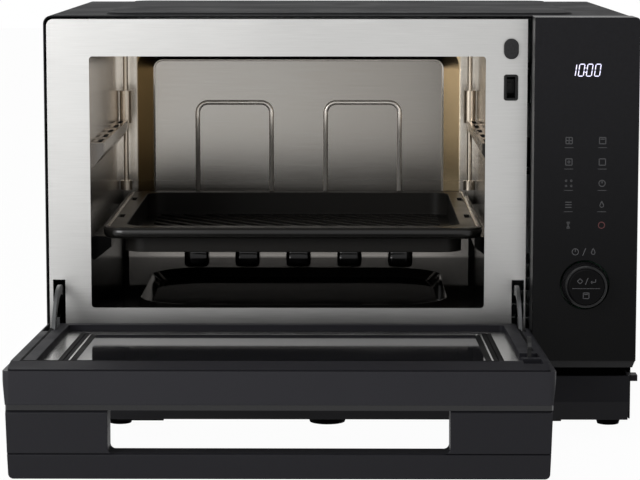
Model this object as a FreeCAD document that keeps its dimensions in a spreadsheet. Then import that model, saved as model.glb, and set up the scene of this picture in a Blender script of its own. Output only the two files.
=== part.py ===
import FreeCAD, Part
import math
import os
from types import SimpleNamespace

import Sketcher
from FreeCAD import Placement, Rotation, Vector

# Countertop combination oven with a drop-down door, shown open.
# Millimetres, +Z up, the front faces -Y, the origin is under the middle of the open oven.
# X distances named here run from the casing's left side, Y distances from the steel front frame,
# heights from the table top.
DIMENSIONS = {
    # casing
    "width": 500.0,
    "height": 354.0,
    "depth": 368.0,
    "casing_wall": 1.2,
    "casing_radius": 7.0,
    "field_inset": 50.0,
    "field_front": 18.0,
    "field_rise": 1.7,
    "field_angle": 50.0,
    "base_wall": 1.2,
    "foot_height": 9.0,
    "foot_radius": 12.0,
    # steel front frame and its opening
    "frame_wall": 1.2,
    "frame_edge": 2.6,
    "frame_bottom": 56.0,
    "frame_drop": 3.0,
    "frame_gap": 3.5,
    "opening_left": 38.4,
    "bay_width": 126.0,
    "ceiling_gap": 34.4,
    "sill_height": 104.7,
    "opening_radius": 3.0,
    # cavity
    "rear_gap": 38.0,
    "cavity_wall": 1.2,
    "cavity_extra": 8.0,
    "back_recess": 10.0,
    "back_strip": 14.2,
    "back_angle": 58.0,
    "back_gap": 5.9,
    "back_radius": 24.0,
    "ledge_reach": 9.0,
    "ledge_drop": 9.0,
    "ledge_start": 28.0,
    "ledge_rear": 50.0,
    "lower_reach": 15.0,
    "lower_ledge": 162.9,
    "upper_ledge": 243.5,
    "arch_width": 76.0,
    "arch_spacing": 125.6,
    "arch_drop": 61.6,
    "arch_bottom": 160.0,
    "arch_bead": 3.6,
    "arch_proud": 1.6,
    "arch_radius": 12.0,
    "arch_slope": 40.0,
    "floor_block": 14.0,
    "floor_skin": 2.0,
    "pan_side": 37.0,
    "pan_front": 22.0,
    "pan_length": 232.0,
    "pan_depth": 7.7,
    "pan_slope": 45.0,
    "pan_radius": 48.0,
    "glass_plate": 2.0,
    "bump_pitch": 50.0,
    "bump_width": 23.0,
    "bump_height": 8.0,
    "bump_depth": 10.0,
    "bump_slope": 8.0,
    "post_radius": 2.4,
    "post_inset": 6.5,
    "post_rear": 42.0,
    "post_bottom": 175.7,
    # control panel
    "panel_width": 87.3,
    "panel_reach": 35.0,
    "panel_bottom": 65.3,
    "panel_lip": 6.0,
    "panel_glass": 2.5,
    "panel_wall": 2.0,
    "panel_radius": 4.0,
    "dial_height": 130.0,
    "dial_radius": 19.5,
    "dial_reach": 13.0,
    "dial_gap": 1.2,
    "button_radius": 15.3,
    "button_gap": 0.3,
    "button_travel": 1.5,
    "shaft_fit": 0.05,
    # door
    "door_angle": 87.4,
    "hinge_forward": 18.5,
    "hinge_height": 76.8,
    "door_top_gap": 2.0,
    "door_drop": 5.0,
    "door_gap": 1.5,
    "door_front": 16.2,
    "door_split": 13.0,
    "seal_gap": 0.5,
    "shell_wall": 5.0,
    "shell_draft": 2.0,
    "front_glass": 4.0,
    "inner_side": 4.0,
    "inner_start": 6.0,
    "inner_band": 18.5,
    "inner_cap": 25.0,
    "inner_sill": 12.0,
    "steel_band": 21.5,
    "steel_sheet": 3.0,
    "screen_sheet": 0.8,
    "handle_height": 25.0,
    "handle_reach": 51.7,
    "handle_bar": 19.4,
    "handle_block": 76.0,
    "handle_side": 2.3,
    "handle_draft": 1.8,
    # hinges
    "hinge_centre": 10.9,
    "hinge_right": 8.5,
    "hinge_plate": 3.0,
    "hinge_pin": 4.0,
    "hub_radius": 8.5,
    "horn_inner": 42.0,
    "horn_outer": 50.0,
    "horn_start": 3.0,
    "horn_end": 126.0,
    "hinge_slot_width": 10.5,
    "hinge_slot_top": 129.0,
    "hinge_slot_bottom": 66.0,
    # latch
    "latch_inset": 15.9,
    "latch_drop": 60.6,
    "latch_bezel_width": 12.0,
    "latch_bezel_height": 22.0,
    "latch_slot_width": 7.2,
    "latch_slot_height": 18.0,
    "latch_hook": 3.0,
    "bumper_drop": 27.9,
    "bumper_proud": 3.0,
    # trays
    "tray_side": 8.8,
    "tray_rear": 18.7,
    "tray_front": 7.3,
    "tray_rim": 9.2,
    "tray_slope": 12.0,
    "tray_drop": 22.7,
    "tray_flange": 17.0,
    "tray_wall": 1.6,
    "tray_radius": 18.0,
    "tray_gap": 0.3,
    "rib_pitch": 16.0,
    "rib_width": 4.0,
    "rib_height": 1.6,
    "rib_angle": 48.0,
    "drip_inset": 3.5,
    "drip_reach": 24.0,
    "drip_top": 50.5,
    "drip_bend": 28.0,
    "drip_wall": 2.0,
    "drip_gap": 0.3,
    "drip_well": 14.0,
    # power parts
    "waveguide_width": 86.0,
    "waveguide_bottom": 26.0,
    "waveguide_top": 57.0,
    "waveguide_inset": 20.0,
    "antenna_front": 138.0,
    "antenna_radius": 70.0,
    "antenna_shaft": 4.0,
    "fan_radius": 48.0,
    "fan_height": 240.0,
    "fan_gap": 3.0,
    "fan_depth": 24.0,
    "circuit_sheet": 1.6,
}

DOC = FreeCAD.newDocument("combination_oven")
SHEET = DOC.addObject("Spreadsheet::Sheet", "sizes")
NODES = []
TURNS = {
    "x": Rotation(Vector(0, 1, 0), 90),
    "y": Rotation(Vector(1, 0, 0), -90),
    "z": Rotation(),
}


def as_text(amount):
    """Expression text of a size or of a plain number."""
    return amount.text if isinstance(amount, Size) else repr(float(amount))


class Size:
    """A number that remembers the sheet expression it comes from."""

    def __init__(self, number, text):
        self.number = number
        self.text = text

    def joined(self, other, sign, number):
        return Size(number, f"({self.text} {sign} {as_text(other)})")

    def __float__(self):
        return self.number

    def __neg__(self):
        return Size(-self.number, f"(-{self.text})")

    def __add__(self, other):
        return self.joined(other, "+", self.number + float(other))

    __radd__ = __add__

    def __sub__(self, other):
        return self.joined(other, "-", self.number - float(other))

    def __rsub__(self, other):
        return -self + other

    def __mul__(self, other):
        return self.joined(other, "*", self.number * float(other))

    __rmul__ = __mul__

    def __truediv__(self, other):
        return self.joined(other, "/", self.number / float(other))


def fill_sheet():
    """Write the driving dimensions into the sheet and give them back as sizes."""
    for row, (alias, number) in enumerate(DIMENSIONS.items(), start=1):
        SHEET.set(f"A{row}", alias)
        SHEET.set(f"B{row}", str(number))
        SHEET.setAlias(f"B{row}", alias)
    DOC.recompute()
    sizes = {alias: Size(float(SHEET.get(alias)), f"sizes.{alias}") for alias in DIMENSIONS}
    return SimpleNamespace(**sizes)


s = fill_sheet()

# Sizes that follow from the overall ones.
s.opening_width = s.width - s.opening_left - s.bay_width
s.cavity_width = s.opening_width + s.cavity_extra
s.opening_height = s.height - s.sill_height - s.ceiling_gap
s.cavity_depth = s.depth - s.rear_gap
s.pan_back = s.pan_front + s.pan_length
s.door_width = s.width - s.panel_width - s.door_gap
s.door_rise = s.height - s.hinge_height - s.door_top_gap
s.latch_centre = s.door_width - s.latch_inset
s.latch_height = s.height - s.latch_drop
s.bumper_height = s.height - s.bumper_drop
s.tray_width = s.cavity_width - s.tray_side * 2
s.tray_depth = s.cavity_depth - s.tray_front - s.tray_rear
s.ledge_end = s.cavity_depth - s.ledge_rear
s.grill_length = s.cavity_width * 0.82
s.drip_width = s.width - s.drip_inset * 2
s.waveguide_end = s.width - s.waveguide_inset

# Planes and lines that many pieces share.
LEFT = -s.width / 2
FACE = (s.hinge_forward + s.door_rise - s.depth) / 2
PANEL_LEFT = LEFT + s.width - s.panel_width
PANEL_FRONT = FACE - s.panel_reach
PANEL_BACK = PANEL_FRONT + s.panel_glass
DIAL_X = PANEL_LEFT + s.panel_width / 2
CAVITY_LEFT = LEFT + s.opening_left
CAVITY_RIGHT = CAVITY_LEFT + s.cavity_width
CAVITY_MIDDLE = CAVITY_LEFT + s.cavity_width / 2
CAVITY_TOP = s.sill_height + s.opening_height
FLOOR_UNDER = s.sill_height - s.floor_block
INSIDE_LEFT = LEFT + s.casing_wall
INSIDE_RIGHT = LEFT + s.width - s.casing_wall
INSIDE_BACK = FACE + s.depth - s.casing_wall
BASE_TOP = s.foot_height + s.base_wall
BAY_LEFT = CAVITY_RIGHT + s.cavity_wall
BAY_MIDDLE = (BAY_LEFT + INSIDE_RIGHT) / 2
HINGE_Y = FACE - s.hinge_forward
DOOR_INSIDE = s.hinge_forward - s.seal_gap
FRONT_FRAME_RIGHT = s.width - s.panel_width - s.frame_gap
HINGE_CENTRES = (s.hinge_centre, s.door_width - s.hinge_right)

# Small fixed sizes of single pieces.
SLOT_WIDTH = 4.0
SLOT_LENGTH = 34.0
SLOT_STEP = 2.0
SIDE_SLOTS = 12
BACK_SLOTS = 12
INLET_X = INSIDE_RIGHT - 26
INLET_Z = BASE_TOP + 92
INLET_RADIUS = 9.0
TONGUE_WIDTH = 40.0
BASE_SLOTS = 6
LIP = 1.0
BUMPER_STEM = 3.0
LEDGE_SLOPE = 12.0
LEDGE_SLOT_WIDTH = 4.0
LEDGE_SLOT_LENGTH = 30.0
LEDGE_SLOTS = 5
GRILL_WIDTH = 84.0
GRILL_RIM = 5.0
GRILL_TUBE = 5.0
LAMP_SIDE = 30.0
LAMP_FRONT = 70.0
LAMP_RADIUS = 12.0
SEAT_LEDGE = 8.0
BUMPS = 5
YOKE_WIDTH = 84.0
YOKE_DEPTH = 92.0
YOKE_HEIGHT = 84.0
DOME_RADIUS = 9.0
DOME_HEIGHT = 20.0
TUBE_FINS = 6
TUBE_SIDES = 16
MOTOR_RADIUS = 25.0
SINK_FINS = 9
BOARD_RISE = 14.0
BOARD_EDGE = 6.0
POST_RADIUS = 3.0
COIL_RADIUS = 20.0
CORE_WIDTH = 48.0
CORE_HEIGHT = 46.0
SINK_HEIGHT = 28.0
FAN_HUB = 14.0
FAN_SHAFT = 2.5
FAN_BLADES = 7
FAN_SKEW = 10.0
FAN_MOTOR = 30.0
FILTER_SIDE = 8.0
FILTER_WIDTH = 66.0
FILTER_RISE = 66.0
FILTER_HEIGHT = 58.0
FILTER_POST = 12.0
SCREW_HEAD = 4.0
SCREW_INSET = 14.0
DISPLAY_WIDTH = 44.0
DISPLAY_HEIGHT = 20.0
DISPLAY_DROP = 43.7
BOARD_SETBACK = 16.0
BOSS = 3.5
DIAL_WEB = 4.0
ENCODER_TUBE = 4.0
STEM = 2.0
BEZEL_NECK = 12.0
BUMPER_WIDTH = 12.4
BUMPER_TALL = 17.2
HINGE_FOOT = 4.5
HINGE_PLAY = 0.4
NOTCH_WIDTH = 9.0
DENT_ROOM = 2.0
GROOVE_START = 12.0
GROOVE_WIDTH = 8.0
PANE_SETBACK = 0.6
LINER_LAP = 3.0
SILL_LAP = 1.0
SHELL_CORNER = 5.0
SEAM = 2.2
HOOK_BOSS = 3.0
HOOK_CHEEK = 2.5
HOOK_PIN = 2.5
TRAY_SLOT_WIDTH = 5.0
TRAY_SLOT_LENGTH = 24.0
TAB_HEIGHT = 5.0
TAB_LENGTH = 14.0
TAB_REACH = 7.0


def bind(item, path, amount):
    """Tie a property to a size."""
    item.setExpression(path, as_text(amount))


def put(item, x=0, y=0, z=0):
    """Tie the place of an item."""
    for axis, amount in zip("xyz", (x, y, z)):
        bind(item, f"Placement.Base.{axis}", amount)
    return item


def keep(item):
    """List an item as a finished piece."""
    NODES.append(item)
    return item


def block(name, x, y, z):
    """Box between a low and a high bound on each axis."""
    item = DOC.addObject("Part::Box", name)
    for path, (low, high) in zip(("Length", "Width", "Height"), (x, y, z)):
        bind(item, path, high - low)
    return put(item, x[0], y[0], z[0])


def around(centre, span):
    """Bounds of a span about its centre."""
    return centre - span / 2, centre + span / 2


def rod(name, radius, start, length, along="z"):
    """Cylinder from a start point along one axis."""
    item = DOC.addObject("Part::Cylinder", name)
    item.Placement = Placement(Vector(), TURNS[along])
    bind(item, "Radius", radius)
    bind(item, "Height", length)
    return put(item, *start)


def prism(name, sides, radius, start, length, along="z"):
    """Even-sided prism from a start point along one axis."""
    item = DOC.addObject("Part::Prism", name)
    item.Placement = Placement(Vector(), TURNS[along])
    item.Polygon = sides
    bind(item, "Circumradius", radius)
    bind(item, "Height", length)
    return put(item, *start)


def fuse(name, *items):
    """Several solids in one piece; solids that do not touch stay a group."""
    item = DOC.addObject("Part::MultiFuse", name)
    item.Shapes = list(items)
    return item


def cut(name, base, *tools):
    """A solid less one or more tools."""
    item = DOC.addObject("Part::Cut", name)
    item.Base = base
    item.Tool = tools[0] if len(tools) == 1 else fuse(name + "_tools", *tools)
    return item


def body(name, x=0, y=0, z=0):
    """Feature body at a bound place."""
    return put(DOC.addObject("PartDesign::Body", name), x, y, z)


def origin_part(owner, role):
    """Origin plane or axis of a body."""
    return next(part for part in owner.Origin.OriginFeatures if part.Role == role)


def sketch(owner, name, plane, lift=0):
    """Sketch on an origin plane, lifted along the plane's normal."""
    item = owner.newObject("Sketcher::SketchObject", name)
    item.AttachmentSupport = [(origin_part(owner, plane + "_Plane"), "")]
    item.MapMode = "FlatFace"
    bind(item, "AttachmentOffset.Base.z", lift)
    return item


def tie_point(item, geometry, point, u, v):
    """Hold a sketch point at bound distances from the sketch origin."""
    for kind, amount in (("DistanceX", u), ("DistanceY", v)):
        rule = Sketcher.Constraint(kind, -1, 1, geometry, point, float(amount))
        index = item.addConstraint(rule)
        bind(item, f"Constraints[{index}]", amount)


def tie_radius(item, geometry, radius):
    """Hold the radius of a sketch arc or circle."""
    index = item.addConstraint(Sketcher.Constraint("Radius", geometry, float(radius)))
    bind(item, f"Constraints[{index}]", radius)


def corner_arc(before, corner, after, radius):
    """Tangent points, centre and turning sense of a rounded corner."""
    inward = (before - corner).normalize()
    outward = (after - corner).normalize()
    half = inward.getAngle(outward) / 2
    middle = (inward + outward).normalize()
    centre = corner + middle * (radius / math.sin(half))
    reach = radius / math.tan(half)
    return corner + inward * reach, corner + outward * reach, centre, inward.cross(outward).z < 0


def outline(item, corners):
    """Closed outline through bound corners (u, v) or (u, v, radius)."""
    points = [Vector(float(corner[0]), float(corner[1]), 0) for corner in corners]
    count = len(points)
    arcs = {}
    for index, corner in enumerate(corners):
        if len(corner) == 3:
            arcs[index] = corner_arc(points[index - 1], points[index], points[(index + 1) % count],
                                     float(corner[2]))
    first = item.GeometryCount
    for index in range(count):
        after = (index + 1) % count
        start = arcs[index][1] if index in arcs else points[index]
        end = arcs[after][0] if after in arcs else points[after]
        item.addGeometry(Part.LineSegment(start, end), False)
    for index, corner in enumerate(corners):
        before, after = first + (index - 1) % count, first + index
        if index not in arcs:
            item.addConstraint(Sketcher.Constraint("Coincident", before, 2, after, 1))
            tie_point(item, after, 1, corner[0], corner[1])
            continue
        entry, leave, centre, turns_left = arcs[index]
        start, end = (entry, leave) if turns_left else (leave, entry)
        angles = [math.atan2(point.y - centre.y, point.x - centre.x) for point in (start, end)]
        circle = Part.Circle(centre, Vector(0, 0, 1), float(corner[2]))
        arc = item.addGeometry(Part.ArcOfCircle(circle, *angles), False)
        item.addConstraint(Sketcher.Constraint("Tangent", before, 2, arc, 1 if turns_left else 2))
        item.addConstraint(Sketcher.Constraint("Tangent", after, 1, arc, 2 if turns_left else 1))
        tie_radius(item, arc, corner[2])
        tip = item.addGeometry(Part.Point(points[index]), True)
        item.addConstraint(Sketcher.Constraint("PointOnObject", tip, 1, before))
        item.addConstraint(Sketcher.Constraint("PointOnObject", tip, 1, after))
        tie_point(item, tip, 1, corner[0], corner[1])
    return item


def rectangle(item, u, v, radius=None):
    """Rectangle between bounds, with rounded corners where a radius is given."""
    corners = [(u[0], v[0]), (u[1], v[0]), (u[1], v[1]), (u[0], v[1])]
    if radius is not None:
        corners = [(*corner, radius) for corner in corners]
    return outline(item, corners)


def circle(item, u, v, radius):
    """Circle at a bound centre."""
    shape = Part.Circle(Vector(float(u), float(v), 0), Vector(0, 0, 1), float(radius))
    index = item.addGeometry(shape, False)
    tie_point(item, index, 3, u, v)
    tie_radius(item, index, radius)
    return item


def pad(owner, profile, length, back=False, taper=None):
    """Pad a sketch along its normal, or back from it."""
    item = owner.newObject("PartDesign::Pad", profile.Name + "_pad")
    item.Profile = profile
    bind(item, "Length", length)
    item.Reversed = back
    if taper is not None:
        bind(item, "TaperAngle", taper)
    return item


def pocket(owner, profile, length=None, ahead=False, taper=None):
    """Pocket a sketch against its normal, or ahead along it; through all when no length is given."""
    item = owner.newObject("PartDesign::Pocket", profile.Name + "_pocket")
    item.Profile = profile
    item.Reversed = ahead
    if length is None:
        item.Type = "ThroughAll"
    else:
        bind(item, "Length", length)
    if taper is not None:
        bind(item, "TaperAngle", taper)
    return item


def row(owner, feature, axis, length, count):
    """Repeat a feature along an origin axis."""
    item = owner.newObject("PartDesign::LinearPattern", feature.Name + "_row")
    item.Originals = [feature]
    item.Direction = (origin_part(owner, axis + "_Axis"), [""])
    bind(item, "Length", length)
    item.Occurrences = count
    owner.Tip = item
    return item


def revolve(owner, profile, axis):
    """Turn a sketch once about an origin axis."""
    item = owner.newObject("PartDesign::Revolution", profile.Name + "_turn")
    item.Profile = profile
    item.ReferenceAxis = (origin_part(owner, axis + "_Axis"), [""])
    item.Angle = 360
    return item


def hang_on_hinge(item):
    """Place a piece of the door, drawn closed about the hinge line, at the open rest angle."""
    item.Placement = Placement(Vector(), Rotation(Vector(1, 0, 0), float(s.door_angle)))
    bind(item, "Placement.Rotation.Angle", s.door_angle)
    return put(item, LEFT, HINGE_Y, s.hinge_height)


def outer_casing():
    """Folded sheet over the top and both sides, with a raised stamped field on top."""
    owner = keep(body("outer_casing", LEFT, FACE))
    inner_radius = s.casing_radius - s.casing_wall
    inside = s.width - s.casing_wall
    under = s.height - s.casing_wall
    wrap = outline(sketch(owner, "casing_wrap", "XZ"), [
        (0, s.foot_height), (0, s.height, s.casing_radius), (s.width, s.height, s.casing_radius),
        (s.width, s.foot_height), (inside, s.foot_height), (inside, under, inner_radius),
        (s.casing_wall, under, inner_radius), (s.casing_wall, s.foot_height)])
    pad(owner, wrap, s.depth, back=True)
    field = sketch(owner, "casing_field", "XY", s.height)
    across = (s.field_inset, s.width - s.field_inset)
    along = (s.field_front, s.depth - s.field_front)
    rectangle(field, across, along, s.field_front)
    pad(owner, field, s.field_rise, taper=-s.field_angle)
    relief = sketch(owner, "casing_relief", "XY", under)
    edge = s.field_rise * 2
    rectangle(relief, (across[0] + edge, across[1] - edge), (along[0] + edge, along[1] - edge),
              s.field_front - edge)
    pocket(owner, relief, s.field_rise, ahead=True)
    slot = sketch(owner, "casing_slot", "YZ", s.width)
    rectangle(slot, (s.depth * 0.55, s.depth * 0.55 + SLOT_WIDTH),
              (s.height * 0.3, s.height * 0.3 + SLOT_LENGTH))
    feature = pocket(owner, slot, s.casing_wall * 2)
    row(owner, feature, "Y", SLOT_WIDTH * SLOT_STEP * (SIDE_SLOTS - 1), SIDE_SLOTS)


def back_plate():
    """Rear panel with cooling slots and the hole of the cord inlet."""
    owner = keep(body("back_plate", LEFT, INSIDE_BACK))
    radius = s.casing_radius - s.casing_wall
    inside = s.width - s.casing_wall
    top = s.height - s.casing_wall
    plate = outline(sketch(owner, "back_sheet", "XZ"), [
        (s.casing_wall, s.foot_height), (inside, s.foot_height), (inside, top, radius),
        (s.casing_wall, top, radius)])
    pad(owner, plate, s.casing_wall, back=True)
    inlet = circle(sketch(owner, "inlet_hole", "XZ"), INLET_X - LEFT, INLET_Z, INLET_RADIUS)
    pocket(owner, inlet)
    fan_left = BAY_MIDDLE - LEFT - s.fan_radius
    for name, left, bottom in (("fan_slot", fan_left, s.fan_height - s.fan_radius * 0.7),
                               ("air_slot", s.opening_left, s.height * 0.7)):
        slot = sketch(owner, name, "XZ")
        rectangle(slot, (left, left + SLOT_WIDTH), (bottom, bottom + s.fan_radius * 1.4))
        feature = pocket(owner, slot)
        row(owner, feature, "X", SLOT_WIDTH * SLOT_STEP * (BACK_SLOTS - 1), BACK_SLOTS)


def cord_inlet():
    """Flanged bush in the rear panel."""
    flange = rod("inlet_flange", INLET_RADIUS + 3, (INLET_X, INSIDE_BACK - 2, INLET_Z), 2, "y")
    sleeve = rod("inlet_sleeve", INLET_RADIUS, (INLET_X, INSIDE_BACK - 2, INLET_Z),
                 s.casing_wall + 3, "y")
    bore = rod("inlet_bore", INLET_RADIUS / 2, (INLET_X, INSIDE_BACK - 3, INLET_Z),
               s.casing_wall + 6, "y")
    keep(cut("cord_inlet", fuse("inlet_bush", flange, sleeve), bore))


def base_plate():
    """Folded bottom sheet: floor, riser behind the drip tray, shelf under the frame and tray tongues."""
    owner = keep(body("base_plate", LEFT, FACE))
    riser = s.drip_well - s.base_wall
    shelf = s.frame_bottom - s.base_wall
    back = s.depth - s.casing_wall
    fold = outline(sketch(owner, "base_fold", "YZ", s.casing_wall), [
        (back, s.foot_height), (riser, s.foot_height), (riser, shelf), (0, shelf),
        (0, s.frame_bottom), (s.drip_well, s.frame_bottom), (s.drip_well, BASE_TOP), (back, BASE_TOP)])
    pad(owner, fold, s.width - s.casing_wall * 2)
    tongue = sketch(owner, "base_tongue", "XY", s.foot_height)
    for left in (s.width * 0.12, s.width * 0.8):
        rectangle(tongue, (left, left + TONGUE_WIDTH), (-s.drip_reach * 0.5, s.drip_well))
    pad(owner, tongue, s.base_wall)
    slot = sketch(owner, "base_slot", "XY", s.foot_height)
    left = s.opening_left + s.cavity_width + s.casing_wall
    rectangle(slot, (left + SLOT_LENGTH, left + SLOT_LENGTH + SLOT_LENGTH),
              (s.depth * 0.3, s.depth * 0.3 + SLOT_WIDTH))
    feature = pocket(owner, slot, s.base_wall, ahead=True)
    row(owner, feature, "Y", SLOT_WIDTH * SLOT_STEP * (BASE_SLOTS - 1), BASE_SLOTS)


def feet():
    """Rubber feet: three along the front, the middle one broader, and two at the back."""
    front = FACE + s.drip_well + s.foot_radius
    back = FACE + s.depth - s.foot_radius * 2.5
    left = LEFT + s.width * 0.12
    right = LEFT + s.width * 0.968
    broad = 1.5
    middle = front + s.foot_radius * (broad - 1)
    places = ((left, front, 1), (LEFT + s.width * 0.48, middle, broad), (right, front, 1), (left, back, 1),
              (right, back, 1))
    items = []
    for number, (x, y, breadth) in enumerate(places):
        item = DOC.addObject("Part::Cone", f"foot_{number}")
        bind(item, "Radius1", s.foot_radius * (breadth - 0.22))
        bind(item, "Radius2", s.foot_radius * breadth)
        bind(item, "Height", s.foot_height)
        items.append(put(item, x, y, 0))
    keep(fuse("feet", *items))


def front_frame():
    """Steel face of the oven with its opening, hinge slots, latch hole and bumper hole."""
    owner = keep(body("front_frame", LEFT, FACE))
    top = s.height - s.frame_drop
    corner = s.casing_radius - s.casing_wall
    plate = outline(sketch(owner, "frame_plate", "XZ"), [
        (s.frame_edge, s.frame_bottom), (FRONT_FRAME_RIGHT, s.frame_bottom),
        (FRONT_FRAME_RIGHT, top), (s.frame_edge, top, corner)])
    pad(owner, plate, s.frame_wall, back=True)
    hole = sketch(owner, "frame_opening", "XZ")
    rectangle(hole, (s.opening_left, s.opening_left + s.opening_width),
              (s.sill_height, CAVITY_TOP), s.opening_radius)
    pocket(owner, hole)
    holes = sketch(owner, "frame_holes", "XZ")
    for centre in HINGE_CENTRES:
        rectangle(holes, around(centre, s.hinge_slot_width), (s.hinge_slot_bottom, s.hinge_slot_top))
    rectangle(holes, around(s.latch_centre, s.latch_bezel_width - LIP * 2),
              around(s.latch_height, s.latch_bezel_height - LIP * 2))
    circle(holes, s.latch_centre, s.bumper_height, BUMPER_STEM)
    pocket(owner, holes)


def side_wall(name, inner, inward):
    """Cavity side: a sheet with two pressed shelf ledges closed at both ends, the upper one slotted."""
    owner = keep(body(name, LEFT, FACE + s.frame_wall))
    outer = inner - s.cavity_wall * inward
    ledges = ((s.lower_ledge, s.lower_reach), (s.upper_ledge, s.ledge_reach))
    inside, outside = [(inner, s.sill_height)], [(outer, s.sill_height)]
    for level, span in ledges:
        lip = level - s.ledge_drop
        under = level - s.cavity_wall
        reach = inner + span * inward
        hollow = outer + span * inward
        inside += [(inner, lip - LEDGE_SLOPE), (reach, lip), (reach, level), (inner, level)]
        outside += [(outer, lip - LEDGE_SLOPE), (hollow, lip), (hollow, under), (outer, under)]
    inside.append((inner, CAVITY_TOP))
    outside.append((outer, CAVITY_TOP))
    corners = inside + outside[::-1]
    if inward < 0:
        corners.reverse()
    start = s.ledge_start - s.frame_wall
    end = s.ledge_end - s.frame_wall
    wall = outline(sketch(owner, name + "_sheet", "XZ", -start), corners)
    pad(owner, wall, end - start, back=True)
    flat = sorted((inner, outer), key=float)
    for part, place, length in (("_front", 0, start), ("_rear", end, s.cavity_depth - s.ledge_end)):
        sheet = sketch(owner, name + part, "XZ", -place)
        rectangle(sheet, flat, (s.sill_height, CAVITY_TOP))
        pad(owner, sheet, length, back=True)
    for part, place in (("_front_caps", start), ("_rear_caps", end - s.cavity_wall)):
        caps = sketch(owner, name + part, "XZ", -place)
        for level, span in ledges:
            lip = level - s.ledge_drop
            reach = inner + span * inward
            outline(caps, [(outer, lip - LEDGE_SLOPE), (reach, lip), (reach, level), (outer, level)])
        pad(owner, caps, s.cavity_wall, back=True)
    slot = sketch(owner, name + "_slot", "XY", s.upper_ledge)
    middle = inner + s.ledge_reach * inward * 0.45
    first = start + s.ledge_start * 0.4
    rectangle(slot, around(middle, LEDGE_SLOT_WIDTH), (first, first + LEDGE_SLOT_LENGTH))
    feature = pocket(owner, slot, s.cavity_wall * 1.5)
    row(owner, feature, "Y", (end - start) * 0.8, LEDGE_SLOTS)


def cavity_back_wall():
    """Rear sheet of the cavity: a drawn field with sloped, rounded sides and two arched stiffening beads."""
    owner = keep(body("cavity_back_wall", CAVITY_LEFT, FACE))
    front = s.cavity_depth
    width = s.cavity_width
    wall = s.cavity_wall
    low = s.sill_height - s.back_radius * 2
    top = CAVITY_TOP - s.back_gap
    face = sketch(owner, "rear_face", "XZ", -front)
    rectangle(face, (-wall, width + wall), (s.sill_height, CAVITY_TOP))
    pad(owner, face, wall, back=True)
    bulge = sketch(owner, "rear_bulge", "XZ", -front)
    edge = s.back_strip - wall * 1.5
    rectangle(bulge, (edge, width - edge), (low, top + wall * 1.5), s.back_radius)
    pad(owner, bulge, s.back_recess + wall, back=True, taper=-s.back_angle)
    field = sketch(owner, "rear_field", "XZ", -front)
    rectangle(field, (s.back_strip, width - s.back_strip), (low, top), s.back_radius)
    pocket(owner, field, s.back_recess, taper=-s.back_angle)
    trim = sketch(owner, "rear_trim", "YZ", width + wall * 2)
    rectangle(trim, (front - wall, front + s.back_recess + wall * 2), (low - wall, s.sill_height))
    pocket(owner, trim)
    beads = sketch(owner, "rear_beads", "XZ", -front - s.back_recess)
    bead = s.arch_bead
    inner_radius = s.arch_radius - bead
    arch = CAVITY_TOP - s.arch_drop
    for sign in (-1, 1):
        left, right = around(width / 2 + s.arch_spacing / 2 * sign, s.arch_width)
        outline(beads, [
            (left, s.arch_bottom), (left, arch, s.arch_radius), (right, arch, s.arch_radius),
            (right, s.arch_bottom), (right - bead, s.arch_bottom), (right - bead, arch - bead, inner_radius),
            (left + bead, arch - bead, inner_radius), (left + bead, s.arch_bottom)])
    pad(owner, beads, s.arch_proud, taper=-s.arch_slope)


def cavity_ceiling():
    """Top sheet of the cavity with the grill window and the lamp hole."""
    owner = keep(body("cavity_ceiling", CAVITY_LEFT, FACE, CAVITY_TOP))
    back = s.cavity_depth + s.back_recess + s.cavity_wall
    sheet = sketch(owner, "ceiling_sheet", "XY")
    rectangle(sheet, (-s.cavity_wall, s.cavity_width + s.cavity_wall), (s.frame_wall, back))
    pad(owner, sheet, s.cavity_wall)
    window = sketch(owner, "ceiling_window", "XY")
    rectangle(window, around(s.cavity_width / 2, s.grill_length - GRILL_RIM * 2),
              around(s.cavity_depth / 2, GRILL_WIDTH - GRILL_RIM * 2))
    pocket(owner, window, s.cavity_wall, ahead=True)
    lamp = circle(sketch(owner, "ceiling_lamp", "XY"), s.cavity_width - LAMP_SIDE, LAMP_FRONT, LAMP_RADIUS)
    pocket(owner, lamp, s.cavity_wall, ahead=True)


def grill():
    """Two heating tubes under a folded reflector on top of the cavity."""
    bottom = CAVITY_TOP + s.cavity_wall
    top = s.height - s.casing_wall - 2
    middle = FACE + s.cavity_depth / 2
    wall = s.cavity_wall
    long = around(CAVITY_MIDDLE, s.grill_length)
    wide = around(middle, GRILL_WIDTH)
    shell = block("reflector_shell", long, wide, (bottom, top))
    hollow = block("reflector_hollow", (long[0] + wall, long[1] - wall),
                   (wide[0] + wall, wide[1] - wall), (bottom - 1, top - wall))
    keep(cut("heater_reflector", shell, hollow))
    tubes = []
    level = (bottom + top) / 2
    for number, side in enumerate((-1, 1)):
        y = middle + GRILL_WIDTH / 4 * side
        start = long[0] + wall
        tubes.append(rod(f"heater_tube_{number}", GRILL_TUBE, (start, y, level), long[1] - wall - start, "x"))
        for end, x in enumerate((start, long[1] - wall - GRILL_TUBE * 3)):
            tubes.append(block(f"heater_cap_{number}_{end}", (x, x + GRILL_TUBE * 3),
                               around(y, GRILL_TUBE * 3), around(level, GRILL_TUBE * 3)))
    keep(fuse("grill_heaters", *tubes))


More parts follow.
